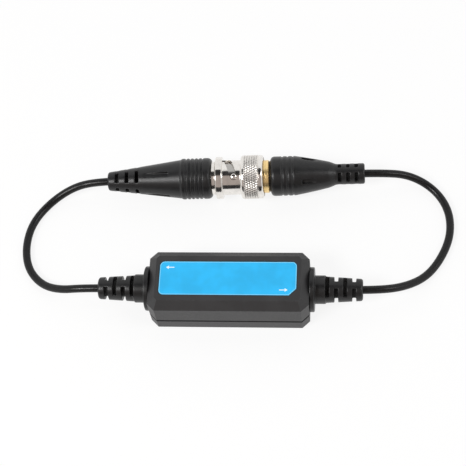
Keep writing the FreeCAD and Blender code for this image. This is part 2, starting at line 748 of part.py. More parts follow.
def make_board_wires():
    """Stripped wire and twisted braid from each relief down to the board."""
    start_x = value("case_length / 2 - case_wall - relief_fit - relief_inner_thick")
    top = value(BOARD_TOP)
    for name, side in (("left", -1), ("right", 1)):
        for label, width, across in (
            ("signal_wire", "wire_width", "0"),
            ("braid_tail", "braid_width", "braid_offset"),
        ):
            across_y = value(across)
            level = value("relief_height")
            bend = value("wire_bend")
            corner_x = value(f"{BOARD_HALF_X} - wire_inset")
            start = V(side * start_x, across_y, level)
            before = V(side * (corner_x + bend), across_y, level)
            slant = bend * (1 - math.sqrt(0.5))
            middle = V(side * (corner_x + slant), across_y, level - slant)
            after = V(side * corner_x, across_y, level - bend)
            path = Part.Wire([
                Part.LineSegment(start, before).toShape(),
                Part.Arc(before, middle, after).toShape(),
                Part.LineSegment(after, V(side * corner_x, across_y, top)).toShape(),
            ])
            ring = Part.Circle(start, V(1, 0, 0), value(width) / 2)
            thing = doc.addObject("Part::Feature", "Wire")
            thing.Shape = path.makePipeShell([Part.Wire(ring.toShape())], True, False)
            keep(thing, f"{label}_{name}")


def make_nut():
    """Bayonet nut: slots lead from the front rim along a helix to the round seats."""
    body = new_body("Nut")
    nut_back = "(nut_front + nut_length)"
    rim_back = "(nut_front + rim_length)"
    groove_half = "groove_depth"
    lathe(body, [
        ("barrel_width / 2 + nut_fit", "nut_front"),
        ("rim_width / 2", "nut_front"),
        ("rim_width / 2", rim_back),
        ("neck_width / 2", rim_back),
        ("neck_width / 2", "grip_start"),
        ("grip_width / 2", "grip_start"),
        ("grip_width / 2", f"grip_groove - {groove_half}"),
        ("grip_width / 2 - groove_depth", "grip_groove"),
        ("grip_width / 2", f"grip_groove + {groove_half}"),
        ("grip_width / 2", nut_back),
        ("chamber_width / 2", nut_back),
        ("chamber_width / 2", "chamber_start"),
        ("barrel_width / 2 + nut_fit", "chamber_start"),
    ])
    dress(body, "Fillet", "rim_round", ring_at("nut_front", "rim_width"))
    dress(body, "Fillet", "rim_round", ring_at(rim_back, "rim_width"))
    dress(body, "Fillet", "grip_round", ring_at("grip_start", "grip_width"))
    dress(body, "Fillet", "nut_round", ring_at(nut_back, "grip_width"))
    sketch = new_sketch(body, "XZ_Plane")
    rectangle(
        sketch, "chamber_width / 2 - 0.5", "chamber_width / 2 + clip_depth", CLIP_FRONT, CLIP_BACK
    )
    turn(body, "Groove", sketch)

    cut = doc.addObject("Part::Feature", "SlotCutter")
    cut.Shape = bayonet_slots()
    nut = doc.addObject("Part::Cut", "SlottedNut")
    nut.Base = body
    nut.Tool = cut
    doc.recompute()
    on_connector(nut, "90 + stud_roll")
    keep(nut, "coupling_nut")


# The retaining ring sits behind the plug's collar and the spring washer
COLLAR_BACK = "(collar_start + collar_thick)"
CLIP_FRONT = f"({COLLAR_BACK} + spring_room - seat_fit)"
CLIP_BACK = f"({COLLAR_BACK} + spring_room + clip_width + seat_fit)"


def bayonet_slots():
    """Cutter for both slots: a round seat, a helix over the turn and a straight entry."""
    width = value("stud_width + 2 * slot_fit")
    seat = value("stud_place")
    draw = value("turn_draw")
    turned = math.radians(value("turn_angle"))
    inside = value("barrel_width / 2 - 0.5")
    outside = value("neck_width / 2 + 0.6")
    entry_level = seat - draw
    rim_back = value("nut_front + rim_length")
    spine = Part.makeHelix(draw / turned * 2 * math.pi, draw, (inside + outside) / 2, 0, False)
    slope = math.atan2(draw, turned * (inside + outside) / 2)
    half = width / 2 / math.cos(slope)
    frame = Part.makePolygon([
        V(inside, 0, -half),
        V(outside, 0, -half),
        V(outside, 0, half),
        V(inside, 0, half),
        V(inside, 0, -half),
    ])
    pipe = Part.BRepOffsetAPI.MakePipeShell(Part.Wire(spine.Edges))
    pipe.setBiNormalMode(V(0, 0, 1))
    pipe.add(frame)
    pipe.build()
    pipe.makeSolid()
    helix = pipe.shape()
    radius = width / 2
    round_start = Part.makeCylinder(radius, outside - inside, V(inside, 0, 0), V(1, 0, 0))
    round_end = round_start.copy()
    round_end.rotate(V(), V(0, 0, 1), math.degrees(turned))
    round_end.translate(V(0, 0, draw))
    open_run = Part.makeBox(outside - inside, width, entry_level - rim_back)
    open_run.translate(V(inside, -radius, rim_back - entry_level))
    blind_top = value("stud_span / 2 + slot_fit")
    rim_run = Part.makeBox(blind_top - inside, width, value("rim_length") + 1)
    rim_run.translate(V(inside, -radius, value("nut_front") - 1 - entry_level))
    slot = helix.multiFuse([round_start, round_end, open_run, rim_run])
    slot.rotate(V(), V(0, 0, 1), 90 - math.degrees(turned))
    slot.translate(V(0, 0, entry_level))
    other = slot.copy()
    other.rotate(V(), V(0, 0, 1), 180)
    return Part.makeCompound([slot, other])


def make_nut_fittings():
    """Retaining ring, curved spring washer and gasket."""
    body = new_body("Clip")
    sketch = new_sketch(body, "XZ_Plane")
    rectangle(
        sketch,
        "body_width / 2 + running_gap",
        "chamber_width / 2 + clip_depth - seat_fit",
        f"{CLIP_FRONT} + seat_fit",
        f"{CLIP_BACK} - seat_fit",
    )
    turn(body, "Revolution", sketch, "360 - clip_gap")
    on_connector(body, "stud_roll")
    keep(body, "retaining_ring")

    blank = new_body("WasherBlank")
    sketch = new_sketch(blank, "XY_Plane", COLLAR_BACK)
    circle(sketch, "0", "0", "collar_width")
    circle(sketch, "0", "0", "body_width + 2 * running_gap")
    grow(blank, "Pad", sketch, "2 * spring_room", both_ways=True)
    strip = new_body("BentStrip")
    sketch = new_sketch(strip, "XZ_Plane")
    reach = "(collar_width / 2 + running_gap)"
    rise = "(spring_rise - spring_thick)"
    radius = f"(({reach} * {reach} + {rise} * {rise}) / (2 * {rise}))"
    low = f"({COLLAR_BACK} + seat_fit + {rise})"
    outline(sketch, [
        (f"-{reach}", low, radius),
        (reach, low),
        (reach, f"{low} + spring_thick", f"-({radius} - spring_thick)"),
        (f"-{reach}", f"{low} + spring_thick"),
    ])
    grow(strip, "Pad", sketch, f"2 * {reach}", both_ways=True)
    washer = doc.addObject("Part::Common", "CurvedWasher")
    washer.Base = blank
    washer.Tool = strip
    doc.recompute()
    on_connector(washer)
    keep(washer, "spring_washer")

    body = new_body("Seal")
    sketch = new_sketch(body, "XZ_Plane")
    rectangle(
        sketch,
        "sleeve_width / 2 + seat_fit",
        "body_front_width / 2",
        "barrel_front + mate_gap",
        "body_front",
    )
    turn(body, "Revolution", sketch)
    on_connector(body)
    keep(body, "gasket")


CRIMP_START = "body_neck_end"
CRIMP_END = "(body_neck_end + crimp_length)"
JACK_CRIMP_END = "(jack_spigot_back - crimp_length)"
FERRULE_WIDTH = "(crimp_width + 2 * seat_fit + 2 * ferrule_wall)"


def make_plug():
    """Gold body, split sleeve, insulator, centre pin and ferrule of the plug."""
    body = new_body("PlugBody")
    lathe(body, [
        ("0", "body_front"),
        ("body_front_width / 2", "body_front"),
        ("body_front_width / 2", "collar_start"),
        ("collar_width / 2", "collar_start"),
        ("collar_width / 2", COLLAR_BACK),
        ("body_width / 2", COLLAR_BACK),
        ("body_width / 2", "body_end"),
        ("body_neck / 2", "body_end"),
        ("body_neck / 2", "body_neck_end"),
        ("crimp_width / 2", "body_neck_end"),
        ("crimp_width / 2", CRIMP_END),
        ("0", CRIMP_END),
    ])
    dress(body, "Fillet", "rim_round", ring_at("body_end", "body_width"))
    lathe(body, bored([
        ("sleeve_width + 2 * seat_fit", "body_front - 1", "sleeve_back"),
        ("insulator_step + 2 * seat_fit", "sleeve_back", "insulator_back"),
        ("crimp_bore", "insulator_back", f"{CRIMP_END} + 1"),
    ]), "Groove")
    on_connector(body)
    keep(body, "plug_body")

    body = new_body("Sleeve")
    lathe(body, [
        ("sleeve_width / 2 - sleeve_wall", "sleeve_front"),
        ("sleeve_width / 2", "sleeve_front"),
        ("sleeve_width / 2", "sleeve_back"),
        ("sleeve_width / 2 - sleeve_wall", "sleeve_back"),
    ])
    for role in ("XZ_Plane", "YZ_Plane"):
        sketch = new_sketch(body, role)
        rectangle(
            sketch, "-sleeve_slit / 2", "sleeve_slit / 2", "sleeve_front - 1", "sleeve_slit_end"
        )
        grow(body, "Pocket", sketch, "sleeve_width + 2", both_ways=True)
    on_connector(body, "45")
    keep(body, "outer_contact")

    body = new_body("PlugInsulator")
    lathe(body, [
        ("pin_shank / 2 + seat_fit", "insulator_front"),
        ("sleeve_width / 2 - sleeve_wall - seat_fit", "insulator_front"),
        ("sleeve_width / 2 - sleeve_wall - seat_fit", "sleeve_back"),
        ("insulator_step / 2", "sleeve_back"),
        ("insulator_step / 2", "insulator_back"),
        ("pin_shank / 2 + seat_fit", "insulator_back"),
    ])
    on_connector(body)
    keep(body, "plug_insulator")

    body = new_body("Pin")
    lathe(body, [
        ("0", "pin_front"),
        ("pin_tip / 4", "pin_front"),
        ("pin_tip / 2", "pin_front + pin_tip / 2"),
        ("pin_tip / 2", "insulator_front"),
        ("pin_shank / 2", "insulator_front"),
        ("pin_shank / 2", "insulator_back + 1"),
        ("0", "insulator_back + 1"),
    ])
    on_connector(body)
    keep(body, "plug_pin")
    make_ferrule("plug_ferrule", f"{CRIMP_START} + seat_fit", "1")


def make_ferrule(label, start, way):
    """Crimped sleeve over a crimp tube."""
    body = new_body("Ferrule")
    stop = f"({start}) + {way} * ferrule_length"
    lathe(body, [
        ("crimp_width / 2 + seat_fit", start),
        (f"{FERRULE_WIDTH} / 2", start),
        (f"{FERRULE_WIDTH} / 2", stop),
        ("crimp_width / 2 + seat_fit", stop),
    ])
    on_connector(body)
    keep(body, label)


def make_jack():
    """Barrel with two studs, insulator, centre contact and ferrule of the jack."""
    body = new_body("Barrel")
    lathe(body, [
        ("0", "barrel_front"),
        ("barrel_width / 2", "barrel_front"),
        ("barrel_width / 2", "jack_flange_front"),
        ("jack_flange_width / 2", "jack_flange_front"),
        ("jack_flange_width / 2", "jack_flange_back"),
        ("barrel_width / 2", "jack_flange_back"),
        ("barrel_width / 2", "jack_shoulder"),
        ("jack_spigot_width / 2", "jack_shoulder"),
        ("jack_spigot_width / 2", "jack_spigot_back"),
        ("crimp_width / 2", "jack_spigot_back"),
        ("crimp_width / 2", JACK_CRIMP_END),
        ("0", JACK_CRIMP_END),
    ])
    dress(body, "Chamfer", "rim_round", ring_at("barrel_front", "barrel_width"))
    dress(body, "Fillet", "rim_round", ring_at("jack_flange_front", "jack_flange_width"))
    sketch = new_sketch(body, "XZ_Plane")
    circle(sketch, "0", "stud_place", "stud_width")
    grow(body, "Pad", sketch, "stud_span", both_ways=True)
    lathe(body, bored([
        ("barrel_bore", "barrel_front + 1", "barrel_front - barrel_depth"),
        ("jack_insulator_width + 2 * seat_fit", "barrel_front - barrel_depth", "jack_insulator_back"),
        ("crimp_bore", "jack_insulator_back", f"{JACK_CRIMP_END} - 1"),
    ]), "Groove")
    on_connector(body, "90 + stud_roll")
    keep(body, "jack_body")

    body = new_body("JackInsulator")
    lathe(body, [
        ("contact_width / 2 + seat_fit", "jack_insulator_back"),
        ("jack_insulator_width / 2", "jack_insulator_back"),
        ("jack_insulator_width / 2", "jack_insulator_front"),
        ("contact_width / 2 + seat_fit", "jack_insulator_front"),
    ])
    on_connector(body)
    keep(body, "jack_insulator")

    body = new_body("Contact")
    lathe(body, [
        ("0", "jack_insulator_back - 1"),
        ("contact_width / 2", "jack_insulator_back - 1"),
        ("contact_width / 2", "jack_insulator_front"),
        ("contact_bore / 2", "jack_insulator_front"),
        ("contact_bore / 2", "jack_insulator_front - contact_depth"),
        ("0", "jack_insulator_front - contact_depth"),
    ])
    on_connector(body)
    keep(body, "jack_contact")
    make_ferrule("jack_ferrule", "jack_spigot_back - seat_fit", "-1")


def flutes(body, deep_at, shallow_at, deep_width, shallow_width):
    """Four flutes that sink into a boot towards its collar."""
    sketch = new_sketch(body, "XZ_Plane")
    outline(sketch, [
        (f"({deep_width}) / 2 - flute_depth", deep_at),
        (f"({shallow_width}) / 2 + 0.02", shallow_at),
        (f"({deep_width}) / 2 + 1", shallow_at),
        (f"({deep_width}) / 2 + 1", deep_at),
    ])
    cut = grow(body, "Pocket", sketch, "flute_width", both_ways=True)
    repeat_around(body, cut, SLOT_COUNT)


def ring_grooves(body, outer, stations, width, depth):
    """Shallow grooves of V section turned into a boot."""
    sketch = new_sketch(body, "XZ_Plane")
    for station in stations:
        outline(sketch, [
            (f"({outer}) / 2 - {depth}", station),
            (f"({outer}) / 2 + 0.2", f"{station} + {width} / 2"),
            (f"({outer}) / 2 + 0.2", f"{station} - {width} / 2"),
        ])
    turn(body, "Groove", sketch)


def between(start, end, share):
    """A station between two others, as a share of the way."""
    return f"({start} + {share} * ({end} - {start}))"


def make_jack_boot():
    """Long conical boot: collar, raised rings, flutes and slot rows, moulded on the jack."""
    body = new_body("JackBoot")
    lathe(body, [
        ("0", "jack_boot_tail"),
        ("jack_tail_width / 2", "jack_boot_tail"),
        ("jack_cone_width / 2", "jack_cone_end"),
        ("jack_collar_width / 2", "jack_cone_end + 0.4"),
        ("jack_collar_width / 2", "jack_boot_front"),
        ("0", "jack_boot_front"),
    ])
    dress(body, "Fillet", "jack_collar_round", ring_at("jack_boot_front", "jack_collar_width"))
    dress(body, "Fillet", "jack_tail_round", ring_at("jack_boot_tail", "jack_tail_width"))
    stations = [f"(jack_collar_back - {index} * ring_pitch)" for index in range(RING_COUNT)]
    ring_grooves(body, "jack_collar_width", stations, "ring_groove_width", "ring_groove")
    taper = "(jack_cone_width - jack_tail_width) / (jack_cone_end - jack_boot_tail)"
    deep_at = between("jack_cone_end", "jack_boot_tail", 0.158)
    shallow_at = between("jack_cone_end", "jack_boot_tail", 0.522)
    deep_width = f"(jack_tail_width + {taper} * ({deep_at} - jack_boot_tail))"
    shallow_width = f"(jack_tail_width + {taper} * ({shallow_at} - jack_boot_tail))"
    flutes(body, deep_at, shallow_at, deep_width, shallow_width)
    for index in range(ROW_COUNT):
        station = f"(jack_boot_tail + jack_slot_inset + {index} * jack_slot_pitch)"
        outer = f"(jack_tail_width + {taper} * ({station} - jack_boot_tail))"
        slot_row(
            body,
            station,
            "boot_slot",
            "jack_slot_core",
            outer,
            "short_slot_angle",
            SLOT_COUNT,
        )
    lathe(body, bored([
        ("barrel_width + 2 * seat_fit", "jack_boot_front + 1", "jack_shoulder - seat_fit"),
        (
            "jack_spigot_width + 2 * seat_fit",
            "jack_shoulder - seat_fit",
            "jack_spigot_back",
        ),
        (f"{FERRULE_WIDTH} + 2 * seat_fit", "jack_spigot_back", f"{JACK_CRIMP_END} - seat_fit"),
    ]), "Groove")
    socket_end = "(jack_boot_tail + lead_socket + turn_draw + 2 * slot_fit)"
    lathe(body, bored([
        ("lead_width + 2 * slot_fit", "jack_boot_tail - 1", socket_end),
    ]), "Groove")
    on_connector(body, "jack_roll")
    keep(body, "jack_boot")


def make_plug_boot():
    """Shorter bullet shaped boot with ring grooves, flutes and a slotted tail."""
    taper_end = "(plug_boot_tail - plug_tail_length)"
    bend = between("plug_taper_start", taper_end, 0.711)
    body = new_body("PlugBoot")
    lathe(body, [
        ("0", "plug_boot_front"),
        ("plug_boot_width / 2", "plug_boot_front"),
        ("plug_boot_width / 2", "plug_ring_first + 2 * plug_ring_pitch + plug_ring_width"),
        ("plug_taper_width / 2", "plug_taper_start"),
        ("plug_bulge_width / 2", between("plug_taper_start", taper_end, 0.356)),
        ("plug_bend_width / 2", bend),
        ("plug_heel_width / 2", between("plug_taper_start", taper_end, 0.859)),
        ("plug_tail_width / 2", taper_end),
        ("plug_tail_width / 2", "plug_boot_tail"),
        ("0", "plug_boot_tail"),
    ])
    dress(body, "Fillet", "plug_boot_round", ring_at("plug_boot_front", "plug_boot_width"))
    dress(body, "Fillet", "plug_tail_round", ring_at("plug_boot_tail", "plug_tail_width"))
    stations = [
        f"(plug_ring_first + {index} * plug_ring_pitch)" for index in range(PLUG_RING_COUNT)
    ]
    ring_grooves(body, "plug_boot_width", stations, "plug_ring_width", "plug_ring_depth")
    taper = f"(plug_bend_width - plug_taper_width) / ({bend} - plug_taper_start)"
    deep_at = between("plug_taper_start", taper_end, 0.178)
    shallow_at = between("plug_taper_start", taper_end, 0.622)
    deep_width = f"(plug_taper_width + {taper} * ({deep_at} - plug_taper_start))"
    shallow_width = f"(plug_taper_width + {taper} * ({shallow_at} - plug_taper_start) + 0.4)"
    flutes(body, deep_at, shallow_at, deep_width, shallow_width)
    for index in range(ROW_COUNT):
        station = f"(plug_boot_tail - plug_slot_inset - {index} * plug_slot_pitch)"
        slot_row(
            body,
            station,
            "boot_slot",
            "plug_slot_core",
            "plug_tail_width",
            "short_slot_angle",
            SLOT_COUNT,
        )
    lathe(body, bored([
        ("body_neck + 2 * seat_fit", "plug_boot_front - 1", f"{CRIMP_START} + seat_fit"),
        (f"{FERRULE_WIDTH} + 2 * seat_fit", f"{CRIMP_START} + seat_fit", f"{CRIMP_END} + seat_fit"),
    ]), "Groove")
    lathe(body, bored([
        ("lead_width + 2 * lead_fit", "plug_boot_tail + 1", "plug_boot_tail - lead_socket"),
    ]), "Groove")
    on_connector(body, "plug_roll")
    keep(body, "plug_boot")


def make_leads():
    """The two coaxial leads, each from a relief's socket to a boot's socket."""
    inner = value("case_length / 2 + relief_length - lead_socket")
    outer = value("case_length / 2 + relief_length + lead_out")
    level = value("relief_height")
    for label, side, route, tail in (
        ("cable_left", -1, LEFT_ROUTE, "jack_boot_tail"),
        ("cable_right", 1, RIGHT_ROUTE, "plug_boot_tail"),
    ):
        points = [V(side * inner, 0, level), V(side * outer, 0, level)]
        points += [V(*point) for point in route]
        points.append(axis_point(value(tail) + side * value("lead_out")))
        points.append(axis_point(value(tail) - side * value("lead_socket")))
        tube(points, value("lead_width"), label)


make_tray()
make_cover()
make_label()
make_board()
make_transformer()
make_capacitors()
make_relief("strain_relief_left", -1)
make_relief("strain_relief_right", 1)
make_board_wires()
make_nut()
make_nut_fittings()
make_plug()
make_jack()
make_jack_boot()
make_plug_boot()
make_leads()
doc.recompute()

for item in doc.Objects:
    if "Invalid" in item.State or "Error" in item.State:
        raise RuntimeError(f"{item.Label}: {item.State}")
for part in parts:
    if part.Shape.isNull() or not part.Shape.isValid() or part.Shape.Volume <= 0:
        raise RuntimeError(f"{part.Label}: bad shape")

os.makedirs("parts", exist_ok=True)
for part in parts:
    part.Shape.exportStep(os.path.join("parts", part.Label + ".step"))
print(len(parts), "sub-parts written")
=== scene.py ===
"""Looks of the in-line video ground loop isolator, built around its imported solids.

The file is laid out as an add-on and is run as a script. Everything is in metres, with +Z up
and the origin at the centre of the case's underside. Pieces of the connector are made along
their own X axis and then laid on the connector axis.
"""

import json
import math

import bmesh
import bpy
from bpy.props import FloatProperty, FloatVectorProperty, IntProperty, PointerProperty
from mathutils import Matrix, Vector


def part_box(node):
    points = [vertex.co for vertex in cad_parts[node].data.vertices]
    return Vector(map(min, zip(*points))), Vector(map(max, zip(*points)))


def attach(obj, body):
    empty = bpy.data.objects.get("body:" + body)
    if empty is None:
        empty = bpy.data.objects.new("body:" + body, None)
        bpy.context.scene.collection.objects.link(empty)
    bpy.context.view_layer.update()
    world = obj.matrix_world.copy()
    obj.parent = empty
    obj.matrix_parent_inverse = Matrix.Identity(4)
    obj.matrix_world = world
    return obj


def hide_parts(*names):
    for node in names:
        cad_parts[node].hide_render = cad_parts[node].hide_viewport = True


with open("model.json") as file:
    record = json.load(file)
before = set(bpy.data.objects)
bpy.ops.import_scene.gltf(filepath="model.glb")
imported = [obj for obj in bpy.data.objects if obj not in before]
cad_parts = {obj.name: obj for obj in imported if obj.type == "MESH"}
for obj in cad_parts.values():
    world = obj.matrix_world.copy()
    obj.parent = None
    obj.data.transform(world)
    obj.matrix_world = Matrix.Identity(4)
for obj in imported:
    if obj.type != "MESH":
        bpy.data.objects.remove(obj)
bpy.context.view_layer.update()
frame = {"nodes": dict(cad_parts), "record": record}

bl_info = {
    "name": "Ground loop isolator looks",
    "version": (1, 0, 0),
    "blender": (4, 5, 0),
    "location": "3D View > Sidebar > Isolator",
    "description": "Builds the visible pieces and finishes of an in-line video isolator",
    "category": "Object",
}

MM = 0.001
ALONG = Vector((1, 0, 0))

# The connector axis: above the surface, behind the case, turned about Z
AXIS_BACK = 41.0 * MM
AXIS_HEIGHT = 7.3 * MM
AXIS_YAW = math.radians(2.0)
ON_AXIS = Matrix.Translation((0, AXIS_BACK, AXIS_HEIGHT)) @ Matrix.Rotation(AXIS_YAW, 4, "Z")
STUD_ROLL = 26.5
JACK_ROLL = 10.5
PLUG_ROLL = 50.6

# The case
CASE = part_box("housing_top")
CASE_TOP = CASE[1].z
CASE_HALF_X = CASE[1].x
CASE_HALF_Y = CASE[1].y
CASE_CORNER = 2.36 * MM
CASE_BEVEL = 2.5 * MM
PARTING = 5.3 * MM
# Half the height of the open line between the two shells, in millimetres
PARTING_GAP = 0.42
RELIEF_HEIGHT = 7.5 * MM

# The label, in millimetres: its outline, and the size of its one cut corner
LABEL_LENGTH = 43.3
LABEL_WIDTH = 11.5
LABEL_CORNER = 1.5
LABEL_CUT = 2.3

# Routes of the leads, from the reliefs round to the boots
LEAD_WIDTH = 2.6 * MM
LEFT_ROUTE = [
    (-39.3, 0.0, 7.5),
    (-47.5, 0.0, 7.5),
    (-56.2, 0.7, 4.5),
    (-63.0, 3.9, 1.7),
    (-68.1, 9.7, 1.35),
    (-69.9, 17.9, 1.35),
    (-68.6, 26.7, 1.35),
    (-63.6, 34.2, 1.45),
    (-56.0, 38.6, 4.2),
]
LEFT_END = (-48.0, -39.8)
RIGHT_ROUTE = [
    (39.3, 0.0, 7.5),
    (47.5, 0.0, 7.5),
    (55.8, 2.6, 4.8),
    (62.6, 7.6, 1.7),
    (67.6, 14.8, 1.35),
    (70.6, 23.3, 1.35),
    (70.0, 32.4, 1.35),
    (65.3, 40.0, 1.5),
    (57.2, 43.7, 4.2),
]
RIGHT_END = (47.8, 39.6)

# The nut, in millimetres: the grip's radius, the knurl's start and end along the axis, and
# the length of one knurl point
GRIP = 7.25
KNURL = (2.9, 7.45)
KNURL_LONG = 1.6

# The bayonet slots: stations of the seat and of the helix's front end, the stud's turn and
# draw between them, and the slots' half width
SEAT = -0.4
ENTRY = -2.8
SLOT_TURN = 75
SLOT_DRAW = SEAT - ENTRY
SLOT_HALF = 1.15

# The camera, fitted to the case's corners in the photograph
CAMERA_PLACE = Vector((46.2, -190.1, 413.9)) * MM
CAMERA_RIGHT = Vector((0.99494, 0.04861, -0.08794))
CAMERA_DOWN = Vector((0.00276, -0.88806, -0.45971))
CAMERA_LENS = 109.2


def axis_point(along):
    """A point of the connector axis, given in millimetres along it."""
    return ON_AXIS @ Vector((along * MM, 0, 0))


# Shader maths


class Wire:
    """A value in a material's node tree that takes part in Python expressions."""

    def __init__(self, finish, socket):
        self.finish = finish
        self.socket = socket

    def maths(self, operation, *values):
        inputs = dict(enumerate(values))
        return self.finish.node("ShaderNodeMath", {"operation": operation}, inputs)

    def __add__(self, other):
        return self.maths("ADD", self, other)

    def __sub__(self, other):
        return self.maths("SUBTRACT", self, other)

    def __rsub__(self, other):
        return self.maths("SUBTRACT", other, self)

    def __mul__(self, other):
        return self.maths("MULTIPLY", self, other)

    def __truediv__(self, other):
        return self.maths("DIVIDE", self, other)

    def __pow__(self, other):
        return self.maths("POWER", self, other)

    def __neg__(self):
        return self.maths("MULTIPLY", self, -1.0)

    def __abs__(self):
        return self.maths("ABSOLUTE", self)

    def least(self, other):
        return self.maths("MINIMUM", self, other)

    def most(self, other):
        return self.maths("MAXIMUM", self, other)

    def turn_to(self, other):
        """The angle of the point whose coordinates are this value and another."""
        return self.maths("ARCTAN2", self, other)

    def saw(self):
        """How far this value is from the nearest whole number, from 0 to 1."""
        return self.maths("PINGPONG", self, 0.5) * 2.0

    def wave(self):
        return self.maths("SINE", self)

    def fade(self, low, high, start=0.0, end=1.0):
        """This value's way from low to high, as a smooth step from start to end."""
        return self.finish.node(
            "ShaderNodeMapRange",
            {"interpolation_type": "SMOOTHSTEP"},
            {"Value": self, "From Min": low, "From Max": high, "To Min": start, "To Max": end},
        )

    __radd__ = __add__
    __rmul__ = __mul__


class Nodes:
    """A node tree that is filled from Python expressions."""

    def __init__(self, tree):
        self.tree = tree
        self.tree.nodes.clear()

    def node(self, kind, settings=None, values=None, output=0):
        """Add a node: its settings come first, then the values or links of its sockets."""
        made = self.tree.nodes.new(kind)
        for name, setting in (settings or {}).items():
            setattr(made, name, setting)
        for name, value in (values or {}).items():
            self.feed(made.inputs[name], value)
        return Wire(self, made.outputs[output])

    def feed(self, socket, value):
        if isinstance(value, Wire):
            self.tree.links.new(value.socket, socket)
        elif hasattr(value, "__len__") and socket.type == "RGBA":
            socket.default_value = (*value[:3], 1.0)
        else:
            socket.default_value = value

    def split(self, vector):
        """The three numbers of a vector."""
        parts = self.tree.nodes.new("ShaderNodeSeparateXYZ")
        self.feed(parts.inputs[0], vector)
        return [Wire(self, socket) for socket in parts.outputs]

    def blend(self, factor, first, second):
        """A colour between two colours."""
        return self.node(
            "ShaderNodeMix",
            {"data_type": "RGBA", "blend_type": "MIX"},
            {0: factor, 6: first, 7: second},
            2,
        )


class Finish(Nodes):
    """A procedural material: one principled shader and the nodes that feed it."""

    def __init__(self, name):
        self.material = bpy.data.materials.new(name)
        self.material.use_nodes = True
        super().__init__(self.material.node_tree)
        self.shader = self.tree.nodes.new("ShaderNodeBsdfPrincipled")
        output = self.tree.nodes.new("ShaderNodeOutputMaterial")
        self.tree.links.new(self.shader.outputs[0], output.inputs["Surface"])

    def place(self, scale=1.0, location=(0, 0, 0), rotation=(0, 0, 0)):
        """Object coordinates, in millimetres times the scale."""
        coordinates = self.node("ShaderNodeTexCoord", output="Object")
        per_metre = scale / MM
        return self.node(
            "ShaderNodeMapping",
            {"vector_type": "TEXTURE"},
            {
                "Vector": coordinates,
                "Location": location,
                "Rotation": rotation,
                "Scale": (1 / per_metre,) * 3,
            },
        )

    def axis_place(self, scale=1.0):
        """Coordinates whose X runs along the connector axis, in millimetres times the scale."""
        return self.place(scale, (0, AXIS_BACK, AXIS_HEIGHT), (0, 0, AXIS_YAW))

    def join(self, x=0.0, y=0.0, z=0.0):
        return self.node("ShaderNodeCombineXYZ", None, {"X": x, "Y": y, "Z": z})

    def noise(self, vector, scale, detail=3.0, roughness=0.55):
        return self.node(
            "ShaderNodeTexNoise",
            None,
            {"Vector": vector, "Scale": scale, "Detail": detail, "Roughness": roughness},
            "Fac",
        )

    def cells(self, vector, scale, randomness=1.0):
        return self.node(
            "ShaderNodeTexVoronoi",
            None,
            {"Vector": vector, "Scale": scale, "Randomness": randomness},
            "Distance",
        )

    def bump(self, height, distance, strength=1.0, under=None):
        """A surface normal from a height in units of the given distance in millimetres."""
        values = {"Height": height, "Distance": distance * MM, "Strength": strength}
        if under is not None:
            values["Normal"] = under
        return self.node("ShaderNodeBump", None, values)

    def finish(self, **values):
        """Set the shader's sockets: names are written with underscores."""
        for name, value in values.items():
            socket = self.shader.inputs[name.replace("_", " ")]
            self.feed(socket, value)
        return self.material


def case_plastic(looks):
    """Spark eroded black case plastic, a little paler along its worn edges, with painted shade in
    the open line between the two shells.
    """
    m = Finish("case_plastic")
    fine = m.place()
    grain = m.noise(fine, 5.5, 4.0, 0.7)
    pits = m.cells(fine, 3.4)
    cloud = m.noise(fine, 0.12, 3.0)
    x, y, z = m.split(fine)
    from_parting = z - PARTING / MM
    to_side = CASE_HALF_Y / MM - abs(y)
    to_end = CASE_HALF_X / MM - abs(x)
    to_top = CASE_TOP / MM - z
    top_side = abs(to_side + to_top - CASE_BEVEL / MM)
    on_ridge = to_side.most(to_top).fade(CASE_BEVEL / MM - 0.5, CASE_BEVEL / MM)
    ridge = (1.0 - top_side.fade(0.0, 0.5)) * on_ridge
    corner = 1.0 - to_side.least(to_end).fade(0.0, 0.4)
    worn = (ridge * 0.5 + corner * 0.3) * m.noise(fine, 1.3, 4.0).fade(0.45, 0.75)
    shade = m.blend(cloud.fade(0.3, 0.7), looks.case_colour, [c * 1.35 for c in looks.case_colour])
    shade = m.blend(worn, shade, [c * 2.2 for c in looks.case_colour])
    tray = from_parting.fade(-0.02, 0.02, 1.0, 0.0)
    shade = m.blend(tray * 0.6, shade, [c * 2.4 for c in looks.case_colour])
    # Painted shade: the lips in the open line between the two shells are painted nearly black and
    # made rougher, as the shadow in that gap.
    parting_gap_shade = abs(from_parting).fade(PARTING_GAP + 0.04, PARTING_GAP + 0.14, 1.0, 0.0)
    shade = m.blend(parting_gap_shade, shade, (0.001, 0.001, 0.001))
    height = grain * 0.6 + pits * 0.4
    return m.finish(
        Base_Color=shade,
        Roughness=grain.fade(0.3, 0.7, 0.4, 0.52) - worn * 0.08 + parting_gap_shade * 0.4,
        Normal=m.bump(height, 0.03, 0.55),
        Specular_IOR_Level=0.5,
        IOR=1.5,
    )


